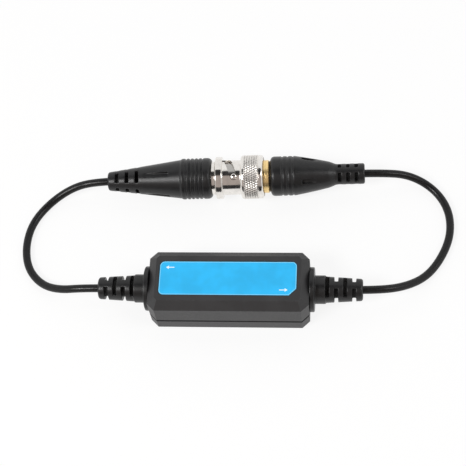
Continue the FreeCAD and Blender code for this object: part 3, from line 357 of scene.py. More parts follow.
def label_film(looks):
    """Printed blue film with a pale line round its edge and a plain arrow at each end."""
    m = Finish("label_film")
    fine = m.place()
    x, y, _ = m.split(fine)
    round_x = (abs(x) - LABEL_LENGTH / 2 + LABEL_CORNER).most(0.0)
    round_y = (abs(y) - LABEL_WIDTH / 2 + LABEL_CORNER).most(0.0)
    edge = (round_x * round_x + round_y * round_y) ** 0.5 - LABEL_CORNER
    corner = (x - y - ((LABEL_LENGTH + LABEL_WIDTH) / 2 - LABEL_CUT)) * math.sqrt(0.5)
    edge = edge.most(corner)
    line = 1.0 - abs(edge + 0.16).fade(0.08, 0.16)
    arrows = None
    for way, middle, level in ((-1.0, -18.4, 3.7), (1.0, 17.6, -3.95)):
        ahead = (x - middle) * way
        across = abs(y - level)
        shaft = ahead.fade(-1.35, -1.25) * ahead.fade(0.7, 0.8, 1.0, 0.0)
        shaft = shaft * across.fade(0.1, 0.18, 1.0, 0.0)
        head = (across * 1.5 + ahead).fade(1.3, 1.42, 1.0, 0.0) * ahead.fade(0.4, 0.5)
        arrow = shaft.most(head)
        arrows = arrow if arrows is None else arrows.most(arrow)
    print_grain = m.noise(fine, 9.0, 2.0)
    dots = m.cells(fine, 4.2, 0.15)
    tone = m.noise(fine, 0.16, 2.0)
    blue = m.blend(tone.fade(0.3, 0.7), looks.label_colour, [c * 0.86 for c in looks.label_colour])
    blue = m.blend(dots.fade(0.1, 0.5) * 0.12, blue, (0.02, 0.2, 0.5))
    colour = m.blend(line * 0.75, blue, looks.label_line)
    colour = m.blend(arrows * 0.92, colour, (0.86, 0.93, 0.95))
    scuff = m.noise(m.place(1.0, rotation=(0, 0, 0.4)), 0.7, 5.0).fade(0.62, 0.8)
    return m.finish(
        Base_Color=colour,
        Roughness=print_grain.fade(0.3, 0.7, 0.3, 0.38) + scuff * 0.12,
        Normal=m.bump(print_grain + line * 0.5 + arrows * 0.5, 0.008, 0.6),
        Specular_IOR_Level=0.4,
        IOR=1.48,
    )


def moulded_black(looks):
    """Soft moulded vinyl: a satin skin with flow marks and a little dust, with painted shade in
    the slots and round the leads.
    """
    m = Finish("moulded_black")
    fine = m.place()
    skin = m.noise(fine, 3.2, 5.0, 0.62)
    flow = m.noise(m.axis_place(), 0.5, 3.0)
    dust = m.noise(fine, 6.5, 6.0, 0.7).fade(0.62, 0.78)
    _, across, up = m.split(m.axis_place())
    _, y, z = m.split(fine)
    level = z - RELIEF_HEIGHT / MM
    from_axis = ((across * across + up * up) ** 0.5).least((y * y + level * level) ** 0.5)
    # Painted shade: faces within about 3 mm of the connector's or a relief's axis, the slots'
    # floors and the faces round the leads, are painted nearly black and made rougher.
    near_axis_shade = from_axis.fade(2.3, 3.0, 1.0, 0.0)
    shade = m.blend(flow.fade(0.3, 0.7), looks.boot_colour, [c * 1.5 for c in looks.boot_colour])
    shade = m.blend(dust * 0.25, shade, (0.09, 0.09, 0.088))
    shade = m.blend(near_axis_shade, shade, (0.0008, 0.0008, 0.0008))
    return m.finish(
        Base_Color=shade,
        Roughness=skin.fade(0.3, 0.7, 0.3, 0.4) + near_axis_shade * 0.5,
        Normal=m.bump(skin + flow * 0.8, 0.04, 0.5),
        Specular_IOR_Level=0.4,
        IOR=1.5,
    )


def lead_black(looks):
    """Smooth extruded jacket with faint pulled lines and handling marks."""
    m = Finish("lead_black")
    fine = m.place()
    skin = m.noise(fine, 1.6, 4.0)
    mottle = m.noise(fine, 7.0, 3.0)
    shade = m.blend(skin.fade(0.3, 0.7), looks.lead_colour, [c * 1.6 for c in looks.lead_colour])
    return m.finish(
        Base_Color=shade,
        Roughness=skin.fade(0.3, 0.7, 0.26, 0.38),
        Normal=m.bump(skin * 0.7 + mottle * 0.3, 0.02, 0.4),
        Specular_IOR_Level=0.32,
        IOR=1.5,
    )


def turned_metal(name, colour, dark, rough, painted_shade_span=None, knurls=0):
    """Plated metal with turning marks round the connector axis and thin smears.

    A stretch given as (start, end, radius) lies inside the nut and gets painted shade: it is
    darkened and made a little rougher there.
    With knurls, the crossed cuts of that many points round the axis get painted shade.
    """
    m = Finish(name)
    along = m.axis_place()
    u, across, up = m.split(along)
    rings = m.noise(m.join(u * 9.0, 0.0, 0.0), 1.0, 3.0, 0.7)
    smear = m.noise(along, 0.55, 4.0)
    specks = m.noise(along, 4.0, 5.0, 0.7).fade(0.66, 0.8)
    shade = m.blend(smear.fade(0.35, 0.75), colour, dark)
    shade = m.blend(specks * 0.3, shade, [c * 0.55 for c in dark])
    rough = smear.fade(0.3, 0.7, rough, rough + 0.07) + specks * 0.15
    if painted_shade_span:
        start, end, radius = painted_shade_span
        # Painted shade under the nut: the barrel seen through the slots and the nut's bore are
        # darkened, as if in the nut's shadow.
        inside = u.fade(start, start + 0.3) * u.fade(end - 0.3, end, 1.0, 0.0)
        away = (across * across + up * up) ** 0.5
        inside = inside * away.fade(radius - 0.05, radius + 0.15, 1.0, 0.0)
        shade = m.blend(inside, shade, [c * 0.62 for c in dark])
        rough = rough + inside * 0.1
    if knurls:
        turn = (-across).turn_to(up) * (knurls / (2 * math.pi))
        lift = u / KNURL_LONG
        cuts = (turn + lift).saw().least((turn - lift).saw())
        low, high = KNURL
        band = u.fade(low + 0.05, low + 0.2) * u.fade(high - 0.2, high - 0.05, 1.0, 0.0)
        # Painted shade in the knurl's crossed cuts: they are painted nearly black and made
        # rougher.
        knurl_cut_shade = cuts.fade(0.4, 0.66) * band
        shade = m.blend(knurl_cut_shade * 0.86, shade, [c * 0.06 for c in dark])
        rough = rough + knurl_cut_shade * 0.25
    return m.finish(
        Base_Color=shade,
        Metallic=1.0,
        Roughness=rough,
        Normal=m.bump(rings, 0.0016),
    )


def plain_finish(name, colour, rough, metallic=0.0, scale=2.0, depth=0.02, spread=1.4):
    """A finish for pieces inside the case and the connector: mottled, with a fine grain."""
    m = Finish(name)
    fine = m.place()
    grain = m.noise(fine, scale, 4.0)
    shade = m.blend(grain.fade(0.3, 0.7), colour, [min(1.0, c * spread) for c in colour])
    return m.finish(
        Base_Color=shade,
        Metallic=metallic,
        Roughness=grain.fade(0.3, 0.7, rough, rough + 0.1),
        Normal=m.bump(grain, depth, 0.5),
    )


def board_green():
    """Solder mask over copper tracks that run along and across the board."""
    m = Finish("board_green")
    x, y, _ = m.split(m.place())
    weave = m.noise(m.place(), 5.0, 2.0)
    step_x = m.noise(m.join(x * 0.22, 0.0, 0.0), 1.0, 0.0)
    tracks = abs((y * 2.4 + step_x * 9.0).wave())
    track = tracks.fade(0.2, 0.32)
    colour = m.blend(track, (0.012, 0.11, 0.04), (0.03, 0.2, 0.07))
    return m.finish(
        Base_Color=colour,
        Roughness=weave.fade(0.3, 0.7, 0.3, 0.4),
        Normal=m.bump(track + weave * 0.2, 0.03, 0.7),
    )


def wound_copper():
    """Enamelled wire laid side by side round the ring core."""
    m = Finish("wound_copper")
    x, y, _ = m.split(m.place())
    strand = (y.turn_to(x) * 78.0).wave()
    tone = m.noise(m.place(), 1.4, 3.0)
    colour = m.blend(tone.fade(0.3, 0.7), (0.5, 0.16, 0.05), (0.72, 0.3, 0.11))
    colour = m.blend(strand.fade(-1.0, -0.2, 0.7, 0.0), colour, (0.08, 0.02, 0.01))
    return m.finish(
        Base_Color=colour,
        Metallic=0.7,
        Roughness=tone.fade(0.3, 0.7, 0.25, 0.38),
        Normal=m.bump(strand, 0.06, 0.8),
    )


def twisted_tin():
    """Tinned strands twisted together."""
    m = Finish("twisted_tin")
    x, y, z = m.split(m.place())
    twist = ((x + z) * 8.0 + y * 5.0).wave()
    tone = m.noise(m.place(), 2.0, 3.0)
    colour = m.blend(tone.fade(0.3, 0.7), (0.5, 0.5, 0.5), (0.72, 0.72, 0.72))
    return m.finish(
        Base_Color=colour,
        Metallic=1.0,
        Roughness=tone.fade(0.3, 0.7, 0.28, 0.42),
        Normal=m.bump(twist, 0.08, 0.8),
    )


FINISHES = {}


def finishes(looks):
    """Every material, made once, by the name of the finish."""
    if FINISHES:
        return FINISHES
    nickel = list(looks.nickel_colour)
    dull = [c * 0.86 for c in nickel]
    gold = list(looks.gold_colour)
    # The stretch of the jack's barrel under the nut, where the nickel gets painted shade
    barrel_shade_span = (-4.4, 2.0, 4.85)
    knurls = bpy.context.scene.isolator_sizes.knurl_count
    FINISHES.update(
        case_plastic=case_plastic(looks),
        label_blue=label_film(looks),
        moulded_black=moulded_black(looks),
        lead_black=lead_black(looks),
        nickel=turned_metal("nickel", nickel, dull, 0.1, painted_shade_span=barrel_shade_span),
        knurled_nickel=turned_metal("knurled_nickel", nickel, dull, 0.32, knurls=knurls),
        gold=turned_metal("gold", gold, [c * 0.9 for c in gold], 0.3),
        insulator_white=plain_finish("insulator_white", (0.78, 0.77, 0.73), 0.35, spread=1.1),
        board_green=board_green(),
        ferrite=plain_finish("ferrite", (0.05, 0.05, 0.055), 0.55, scale=3.5, depth=0.05),
        copper=wound_copper(),
        film_case=plain_finish("film_case", (0.5, 0.07, 0.04), 0.22, scale=1.2, depth=0.06),
        spring_steel=plain_finish("spring_steel", (0.5, 0.5, 0.51), 0.25, 1.0, 3.0, 0.01, 1.15),
        seal=plain_finish("seal", (0.5, 0.09, 0.05), 0.5, scale=2.6, depth=0.03),
        wire_insulation=plain_finish("wire_insulation", (0.8, 0.8, 0.77), 0.45, spread=1.1),
        tinned_braid=twisted_tin(),
    )
    return FINISHES


# Mesh helpers


def keep(mesh, name, slot, body, looks, replaces=(), laid=Matrix.Identity(4), sharp=35.0):
    """Turn a bmesh into a finished object of the part and let it ride on its body."""
    mesh.transform(laid)
    data = bpy.data.meshes.new(name)
    mesh.to_mesh(data)
    mesh.free()
    data.polygons.foreach_set("use_smooth", [True] * len(data.polygons))
    data.set_sharp_from_angle(angle=math.radians(sharp))
    thing = bpy.data.objects.new(name, data)
    bpy.context.scene.collection.objects.link(thing)
    thing.data.materials.append(finishes(looks)[slot])
    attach(thing, body)
    if replaces:
        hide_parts(*replaces)
    return thing


def scratch(mesh, name):
    """A throwaway object around a bmesh, for a modifier to work on."""
    data = bpy.data.meshes.new(name)
    mesh.to_mesh(data)
    mesh.free()
    thing = bpy.data.objects.new(name, data)
    bpy.context.scene.collection.objects.link(thing)
    return thing


def settled(thing):
    """A bmesh of an object with its modifiers applied. The object is removed."""
    graph = bpy.context.evaluated_depsgraph_get()
    graph.update()
    done = bmesh.new()
    done.from_mesh(thing.evaluated_get(graph).to_mesh())
    thing.evaluated_get(graph).to_mesh_clear()
    data = thing.data
    bpy.data.objects.remove(thing)
    bpy.data.meshes.remove(data)
    return done


def cut(mesh, cutter):
    """Take one bmesh out of another."""
    body = scratch(mesh, "body")
    tool = scratch(cutter, "tool")
    change = body.modifiers.new("Cut", "BOOLEAN")
    change.operation = "DIFFERENCE"
    change.solver = "EXACT"
    change.use_self = True
    change.object = tool
    done = settled(body)
    data = tool.data
    bpy.data.objects.remove(tool)
    bpy.data.meshes.remove(data)
    return done


def soften(mesh, voxel, rounds):
    """Melt a bmesh's edges together, as a soft moulding has them."""
    body = scratch(mesh, "body")
    change = body.modifiers.new("Even", "REMESH")
    change.mode = "VOXEL"
    change.voxel_size = voxel * MM
    done = settled(body)
    for _ in range(rounds):
        bmesh.ops.smooth_vert(
            done, verts=done.verts, factor=0.5, use_axis_x=True, use_axis_y=True, use_axis_z=True
        )
    return done


def spun(profile, steps=96, ring=False):
    """A solid turned about X. The profile's points are (along, radius) or, where a corner is
    rounded, (along, radius, rounding), all in millimetres."""
    mesh = bmesh.new()
    dots = [mesh.verts.new((point[0] * MM, 0, point[1] * MM)) for point in profile]
    pairs = list(zip(dots, dots[1:]))
    if ring:
        pairs.append((dots[-1], dots[0]))
    for pair in pairs:
        mesh.edges.new(pair)
    for dot, point in zip(dots, profile):
        if len(point) == 3:
            bmesh.ops.bevel(
                mesh,
                geom=[dot],
                offset=point[2] * MM,
                offset_type="OFFSET",
                segments=5,
                profile=0.5,
                affect="VERTICES",
                material=-1,
            )
    bmesh.ops.spin(
        mesh,
        geom=mesh.verts[:] + mesh.edges[:],
        cent=(0, 0, 0),
        axis=ALONG,
        angle=2 * math.pi,
        steps=steps,
        use_merge=True,
    )
    bmesh.ops.remove_doubles(mesh, verts=mesh.verts, dist=1e-7)
    bmesh.ops.recalc_face_normals(mesh, faces=mesh.faces)
    return mesh


def add_slots(mesh, station, width, core, outer, arc, copies, roll):
    """Cutters round the axis: part rings that are centred on a roll from upright."""
    low, high = (station - width / 2) * MM, (station + width / 2) * MM
    for copy in range(copies):
        corners = [
            mesh.verts.new(spot)
            for spot in (
                (low, 0, core / 2 * MM),
                (high, 0, core / 2 * MM),
                (high, 0, outer / 2 * MM),
                (low, 0, outer / 2 * MM),
            )
        ]
        face = mesh.faces.new(corners)
        turn = Matrix.Rotation(math.radians(roll + copy * 360 / copies - arc / 2), 3, "X")
        bmesh.ops.rotate(mesh, cent=(0, 0, 0), matrix=turn, verts=corners)
        bmesh.ops.spin(
            mesh,
            geom=[face, *face.edges, *face.verts],
            cent=(0, 0, 0),
            axis=ALONG,
            angle=math.radians(arc),
            steps=max(4, round(arc / 6)),
        )


def add_flutes(mesh, deep_at, deep_radius, shallow_at, shallow_radius, width, roll):
    """Four wedge cutters that sink into a boot towards its collar."""
    for copy in range(4):
        half = width / 2 * MM
        floor = [
            mesh.verts.new((deep_at * MM, -half, deep_radius * MM)),
            mesh.verts.new((deep_at * MM, half, deep_radius * MM)),
            mesh.verts.new((shallow_at * MM, half, shallow_radius * MM)),
            mesh.verts.new((shallow_at * MM, -half, shallow_radius * MM)),
        ]
        face = mesh.faces.new(floor)
        made = bmesh.ops.extrude_face_region(mesh, geom=[face])
        raised = [item for item in made["geom"] if isinstance(item, bmesh.types.BMVert)]
        bmesh.ops.translate(mesh, verts=raised, vec=(0, 0, 4 * MM))
        turn = Matrix.Rotation(math.radians(roll + copy * 90), 3, "X")
        bmesh.ops.rotate(mesh, cent=(0, 0, 0), matrix=turn, verts=floor + raised)


def tidy_cutter(mesh):
    """Turn a cutter's faces outwards, so that it can be cut with."""
    bmesh.ops.recalc_face_normals(mesh, faces=mesh.faces)
    return mesh


def groove_points(station, outer, depth, width):
    """Profile points of a rounded ring groove, from its back to its front."""
    half = width / 2
    return [
        (station - half, outer / 2, 0.12),
        (station, outer / 2 - depth, 0.15),
        (station + half, outer / 2, 0.12),
    ]


# Settings of the pieces


class IsolatorLooks(bpy.types.PropertyGroup):
    """Colours of the finishes"""

    case_colour: FloatVectorProperty(
        name="Case", description="Colour of the case plastic", subtype="COLOR", size=3,
        default=(0.0175, 0.0172, 0.0182), min=0, max=1,
    )
    label_colour: FloatVectorProperty(
        name="Label", description="Colour of the label film", subtype="COLOR", size=3,
        default=(0.02, 0.5, 0.93), min=0, max=1,
    )
    label_line: FloatVectorProperty(
        name="Label line", description="Colour of the line round the label", subtype="COLOR",
        size=3, default=(0.25, 0.66, 0.9), min=0, max=1,
    )
    boot_colour: FloatVectorProperty(
        name="Boots", description="Colour of the soft mouldings", subtype="COLOR", size=3,
        default=(0.0065, 0.0065, 0.007), min=0, max=1,
    )
    lead_colour: FloatVectorProperty(
        name="Leads", description="Colour of the leads' jacket", subtype="COLOR", size=3,
        default=(0.003, 0.003, 0.0032), min=0, max=1,
    )
    nickel_colour: FloatVectorProperty(
        name="Nickel", description="Colour of the nickel plate", subtype="COLOR", size=3,
        default=(0.86, 0.83, 0.79), min=0, max=1,
    )
    gold_colour: FloatVectorProperty(
        name="Gold", description="Colour of the gold plate", subtype="COLOR", size=3,
        default=(0.97, 0.72, 0.34), min=0, max=1,
    )


class IsolatorSizes(bpy.types.PropertyGroup):
    """Sizes that shape the visible pieces"""

    edge_round: FloatProperty(
        name="Case edges", description="Rounding of the case's edges", subtype="DISTANCE",
        unit="LENGTH", default=0.16 * MM, min=0, precision=5,
    )
    boot_voxel: FloatProperty(
        name="Boot grain", description="Size of the soft mouldings' mesh, in millimetres",
        default=0.16, min=0.1, max=0.5,
    )
    boot_melt: IntProperty(
        name="Boot softness", description="Rounds of smoothing on the soft mouldings",
        default=2, min=0, max=12,
    )
    knurl_count: IntProperty(
        name="Knurls", description="Points of the knurl round the nut's grip",
        default=56, min=12, max=160,
    )
    knurl_depth: FloatProperty(
        name="Knurl depth", description="Depth of the knurl, in millimetres",
        default=0.18, min=0, max=0.6,
    )


# Operators


class PieceOperator:
    """What the piece operators share."""

    bl_options = {"REGISTER"}

    def execute(self, context):
        self.build(context.scene.isolator_looks, context.scene.isolator_sizes)
        return {"FINISHED"}


class ISOLATOR_OT_case(PieceOperator, bpy.types.Operator):
    """Make both shells of the case with softly rounded edges"""

    bl_idname = "isolator.case"
    bl_label = "Case shells"

    def on_skin(self, spot):
        """Whether a point lies on the outside of the case."""
        x, y, z = abs(spot.x), abs(spot.y), spot.z
        root_half = math.sqrt(0.5)
        depths = [
            CASE_HALF_X - x,
            CASE_HALF_Y - y,
            CASE_TOP - z,
            z,
            (CASE_HALF_X + CASE_HALF_Y - CASE_CORNER - x - y) * root_half,
            (CASE_HALF_Y + CASE_TOP - CASE_BEVEL - y - z) * root_half,
            (CASE_HALF_X + CASE_TOP - CASE_BEVEL - x - z) * root_half,
        ]
        return min(depths) < 0.04 * MM

    def shell(self, node, name, looks, sizes):
        """A copy of a shell with rounded edges, held back from the parting plane."""
        mesh = bmesh.new()
        mesh.from_mesh(frame["nodes"][node].data)
        bmesh.ops.remove_doubles(mesh, verts=mesh.verts, dist=1e-6)
        bmesh.ops.dissolve_limit(
            mesh, angle_limit=math.radians(0.5), verts=mesh.verts, edges=mesh.edges
        )
        away = PARTING_GAP * MM if node == "housing_top" else -PARTING_GAP * MM
        for vertex in mesh.verts:
            if abs(vertex.co.z - PARTING) < 0.01 * MM and self.on_skin(vertex.co):
                vertex.co.z += away
        wanted = [
            edge
            for edge in mesh.edges
            if len(edge.link_faces) == 2
            and edge.is_convex
            and edge.calc_face_angle() > math.radians(24)
            and edge.calc_length() > 0.25 * MM
            and all(self.on_skin(vertex.co) for vertex in edge.verts)
        ]
        bmesh.ops.bevel(
            mesh,
            geom=wanted,
            offset=sizes.edge_round,
            offset_type="OFFSET",
            segments=3,
            profile=0.5,
            affect="EDGES",
            clamp_overlap=True,
            material=-1,
        )
        shell = keep(mesh, name, "case_plastic", "root", looks, [node])
        shell.modifiers.new("Even shading", "WEIGHTED_NORMAL").keep_sharp = True
        return shell

    def build(self, looks, sizes):
        self.shell("housing_bottom", "case_tray", looks, sizes)
        self.shell("housing_top", "case_cover", looks, sizes)


class ISOLATOR_OT_reliefs(PieceOperator, bpy.types.Operator):
    """Make the slotted strain relief at each end of the case"""

    bl_idname = "isolator.reliefs"
    bl_label = "Strain reliefs"

    LENGTH = 16.8
    ROOT_END = 5.0
    SHOULDER = 8.4
    TIP = 7.0
    PITCH = 2.82
    SLOT = 1.2
    CORE = 5.0

    def build(self, looks, sizes):
        for side, name in ((-1, "relief_left"), (1, "relief_right")):
            mesh = spun([
                (-2.95, 0),
                (-2.95, 5.5, 0.2),
                (-1.65, 5.5, 0.2),
                (-1.65, 4.2),
                (0.0, 4.2),
                (0.0, 7.15, 0.15),
                (1.55, 7.15, 0.35),
                (1.55, 4.55, 0.3),
                (self.ROOT_END, 4.55, 0.15),
                (self.ROOT_END + 0.15, self.SHOULDER / 2, 0.1),
                (self.LENGTH, self.TIP / 2, 0.7),
                (self.LENGTH, 1.42, 0.15),
                (self.LENGTH - 3.0, 1.42),
                (self.LENGTH - 3.0, 0),
            ])
            cutter = bmesh.new()
            for row in range(4):
                station = self.ROOT_END + (row + 0.2) * self.PITCH
                share = (station - self.ROOT_END) / (self.LENGTH - self.ROOT_END)
                outer = self.SHOULDER + (self.TIP - self.SHOULDER) * share + 2
                arc, roll = (126, 0) if row % 2 == 0 else (144, 90)
                add_slots(cutter, station, self.SLOT, self.CORE, outer, arc, 2, roll)
            mesh = cut(mesh, tidy_cutter(cutter))
            mesh = soften(mesh, sizes.boot_voxel * 0.86, sizes.boot_melt)
            laid = Matrix.Translation((side * CASE_HALF_X, 0, RELIEF_HEIGHT))
            if side < 0:
                laid = laid @ Matrix.Rotation(math.pi, 4, "Z")
            node = "strain_" + name
            keep(mesh, name, "moulded_black", "root", looks, [node], laid, 180.0)


class ISOLATOR_OT_jack_boot(PieceOperator, bpy.types.Operator):
    """Make the long conical boot of the jack"""

    bl_idname = "isolator.jack_boot"
    bl_label = "Jack boot"

    FRONT = -7.8
    TAIL = -42.8
    CONE_END = -18.1
    TAIL_WIDTH = 6.1
    CONE_WIDTH = 12.9
    COLLAR_WIDTH = 13.6
    FLUTE_DEEP = -22.0
    FLUTE_END = -31.0

    def width_at(self, station):
        """The cone's width at a station."""
        share = (station - self.TAIL) / (self.CONE_END - self.TAIL)
        return self.TAIL_WIDTH + (self.CONE_WIDTH - self.TAIL_WIDTH) * share

    def build(self, looks, sizes):
        grooves = []
        for index in reversed(range(5)):
            grooves += groove_points(-11.0 - index * 1.35, self.COLLAR_WIDTH, 0.55, 0.75)
        mesh = spun([
            (self.TAIL + 5.7, 0),
            (self.TAIL + 5.7, 1.5),
            (self.TAIL, 1.5, 0.15),
            (self.TAIL, self.TAIL_WIDTH / 2, 0.6),
            (self.CONE_END, self.CONE_WIDTH / 2, 0.3),
            (self.CONE_END + 0.4, self.COLLAR_WIDTH / 2, 0.2),
            *grooves,
            (self.FRONT, self.COLLAR_WIDTH / 2, 1.5),
            (self.FRONT, 4.86, 0.15),
            (self.FRONT - 1.75, 4.86),
            (self.FRONT - 1.75, 0),
        ])
        cutter = bmesh.new()
        for row in range(3):
            station = -39.6 + row * 3.4
            add_slots(cutter, station, 1.15, 4.4, self.width_at(station) + 2, 58, 4, JACK_ROLL)
        add_flutes(
            cutter,
            self.FLUTE_DEEP,
            self.width_at(self.FLUTE_DEEP) / 2 - 0.9,
            self.FLUTE_END,
            self.width_at(self.FLUTE_END) / 2 + 0.02,
            1.4,
            JACK_ROLL,
        )
        mesh = cut(mesh, tidy_cutter(cutter))
        mesh = soften(mesh, sizes.boot_voxel, sizes.boot_melt)
        keep(mesh, "jack_boot_skin", "moulded_black", "jack", looks, ["jack_boot"], ON_AXIS, 180.0)


class ISOLATOR_OT_plug_boot(PieceOperator, bpy.types.Operator):
    """Make the bullet shaped boot of the plug"""

    bl_idname = "isolator.plug_boot"
    bl_label = "Plug boot"

    def build(self, looks, sizes):
        grooves = []
        for index in range(3):
            grooves += groove_points(15.5 + index * 1.75, 13.1, 0.4, 0.7)
        mesh = spun([
            (12.9, 0),
            (12.9, 4.66),
            (11.05, 4.66),
            (11.05, 5.05, 0.1),
            (11.6, 5.05, 0.1),
            (11.6, 6.55, 1.3),
            *grooves,
            (19.85, 6.5, 0.4),
            (24.4, 5.7, 2.0),
            (29.2, 4.72, 1.5),
            (31.2, 4.25, 1.2),
            (33.1, 3.425, 0.4),
            (42.6, 3.425, 0.6),
            (42.6, 1.42, 0.15),
            (39.6, 1.42),
            (39.6, 0),
        ])
        cutter = bmesh.new()
        for row in range(3):
            add_slots(cutter, 34.3 + row * 2.75, 1.15, 4.6, 8.85, 58, 4, PLUG_ROLL)
        add_flutes(cutter, 22.0, 4.8, 28.0, 5.13, 1.5, PLUG_ROLL)
        mesh = cut(mesh, tidy_cutter(cutter))
        mesh = soften(mesh, sizes.boot_voxel, sizes.boot_melt)
        keep(mesh, "plug_boot_skin", "moulded_black", "root", looks, ["plug_boot"], ON_AXIS, 180.0)


class ISOLATOR_OT_nut(PieceOperator, bpy.types.Operator):
    """Make the bayonet nut and its knurled grip"""

    bl_idname = "isolator.nut"
    bl_label = "Coupling nut"

    INNER = 4.0
    OUTER = 6.6
    COLLAR_BACK = -4.25
    COLLAR_INNER = 5.65
    MEAN_RADIUS = 5.3

    def block(self, mesh, low, high):
        """A box between two corners, given in millimetres."""
        low, high = Vector(low), Vector(high)
        dots = bmesh.ops.create_cube(mesh, size=1)["verts"]
        bmesh.ops.scale(mesh, verts=dots, vec=(high - low) * MM)
        bmesh.ops.translate(mesh, verts=dots, vec=(low + high) / 2 * MM)

    def round_end(self, mesh, station, angle):
        """The round end of a slot, at a station and a turn from the entry."""
        peg = bmesh.ops.create_cone(
            mesh,
            cap_ends=True,
            segments=32,
            radius1=SLOT_HALF * MM,
            radius2=SLOT_HALF * MM,
            depth=(self.OUTER - self.INNER) * MM,
        )["verts"]
        middle = Vector((station, 0, (self.INNER + self.OUTER) / 2)) * MM
        bmesh.ops.translate(mesh, verts=peg, vec=middle)
        roll = Matrix.Rotation(math.radians(angle), 3, "X")
        bmesh.ops.rotate(mesh, cent=(0, 0, 0), matrix=roll, verts=peg)

    def helix(self, mesh, steps=24):
        """The run from the entry to the seat, as wide across as the round ends."""
        slope = math.atan2(SLOT_DRAW, math.radians(SLOT_TURN) * self.MEAN_RADIUS)
        reach = SLOT_HALF / math.cos(slope)
        corners = [
            mesh.verts.new(Vector(spot) * MM)
            for spot in (
                (ENTRY - reach, 0, self.INNER),
                (ENTRY + reach, 0, self.INNER),
                (ENTRY + reach, 0, self.OUTER),
                (ENTRY - reach, 0, self.OUTER),
            )
        ]
        face = mesh.faces.new(corners)
        bmesh.ops.spin(
            mesh,
            geom=[face, *face.edges, *face.verts],
            cent=(0, 0, 0),
            axis=ALONG,
            dvec=(SLOT_DRAW / steps * MM, 0, 0),
            angle=math.radians(SLOT_TURN),
            steps=steps,
        )

    def slot_cutter(self):
        """Both bayonet slots: an entry under the collar, a helix and the round seat."""
        mesh = bmesh.new()
        half = SLOT_HALF
        for turn in (0, 180):
            before = set(mesh.verts)
            self.block(mesh, (-8, -half, self.INNER), (ENTRY, half, self.COLLAR_INNER))
            self.block(mesh, (self.COLLAR_BACK, -half, self.INNER), (ENTRY, half, self.OUTER))
            self.round_end(mesh, ENTRY, 0)
            self.round_end(mesh, SEAT, SLOT_TURN)
            self.helix(mesh)
            slot = [vertex for vertex in mesh.verts if vertex not in before]
            roll = Matrix.Rotation(math.radians(STUD_ROLL - SLOT_TURN + turn), 3, "X")
            bmesh.ops.rotate(mesh, cent=(0, 0, 0), matrix=roll, verts=slot)
        return tidy_cutter(mesh)

    def build(self, looks, sizes):
        low, high = KNURL
        under = GRIP - 0.25
        mesh = spun([
            (-6.5, 4.9),
            (-6.5, 7.025, 0.3),
            (-4.25, 7.025, 0.3),
            (-4.25, 5.75, 0.15),
            (1.8, 5.75, 0.2),
            (1.8, GRIP, 0.9),
            (low, GRIP, 0.05),
            (low, under),
            (high, under),
            (7.62, GRIP - 0.3, 0.03),
            (7.75, GRIP, 0.08),
            (9.3, GRIP, 0.8),
            (9.3, 6.4, 0.15),
            (6.2, 6.4),
            (6.2, 4.9),
        ], 144, ring=True)
        mesh = cut(mesh, self.slot_cutter())
        keep(mesh, "nut_shell", "nickel", "nut", looks, ["coupling_nut"], ON_AXIS, 28.0)
        self.knurl(looks, sizes)
        self.stud_caps(looks)

    def stud_caps(self, looks):
        """Domed ends of the two bayonet studs, which belong to the jack."""
        mesh = bmesh.new()
        for turn in (0, 180):
            dome = bmesh.ops.create_uvsphere(mesh, u_segments=32, v_segments=16, radius=0.98 * MM)
            dots = dome["verts"]
            bmesh.ops.scale(mesh, verts=dots, vec=(1, 1, 0.32))
            bmesh.ops.translate(mesh, verts=dots, vec=(-0.4 * MM, 0, 5.48 * MM))
            roll = Matrix.Rotation(math.radians(STUD_ROLL + turn), 3, "X")
            bmesh.ops.rotate(mesh, cent=(0, 0, 0), matrix=roll, verts=dots)
        keep(mesh, "stud_caps", "nickel", "jack", looks, (), ON_AXIS)

    def knurl(self, looks, sizes):
        """Diamond points cut crosswise into the grip."""
        low, high = KNURL
        rows = 36
        foot = GRIP - 0.35
        steps = sizes.knurl_count * 6
        tops = [(low + (high - low) * row / rows, GRIP) for row in range(rows + 1)]
        mesh = spun([(low, foot), *tops, (high, foot)], steps, ring=True)
        pitch = 2 * math.pi / sizes.knurl_count
        for vertex in mesh.verts:
            x = vertex.co.x / MM
            radius = math.hypot(vertex.co.y, vertex.co.z) / MM
            if radius < GRIP - 0.15 or x < low + 0.01 or x > high - 0.01:
                continue
            turn = math.atan2(-vertex.co.y, vertex.co.z) / pitch
            lift = x / KNURL_LONG
            first = abs(turn + lift - round(turn + lift)) * 2
            second = abs(turn - lift - round(turn - lift)) * 2
            fade = min(1.0, (x - low) / 0.2, (high - x) / 0.2)
            scale = (radius - sizes.knurl_depth * max(first, second) * fade + 0.03) / radius
            vertex.co.y *= scale
            vertex.co.z *= scale
        knurl = keep(mesh, "nut_knurl", "nickel", "nut", looks, (), ON_AXIS, 24.0)
        knurl.data.materials[0] = finishes(looks)["knurled_nickel"]


class ISOLATOR_OT_band(PieceOperator, bpy.types.Operator):
    """Make the gold band with a fine groove between the nut and the plug's boot"""

    bl_idname = "isolator.band"
    bl_label = "Gold band"

    def build(self, looks, sizes):
        mesh = spun([
            (9.1, 5.2),
            (9.1, 5.42, 0.08),
            (9.85, 5.42, 0.06),
            (9.92, 5.36, 0.03),
            (10.0, 5.42, 0.06),
            (11.0, 5.42, 0.1),
            (11.0, 5.2),
        ], 128, ring=True)
        keep(mesh, "gold_band", "gold", "root", looks, (), ON_AXIS)


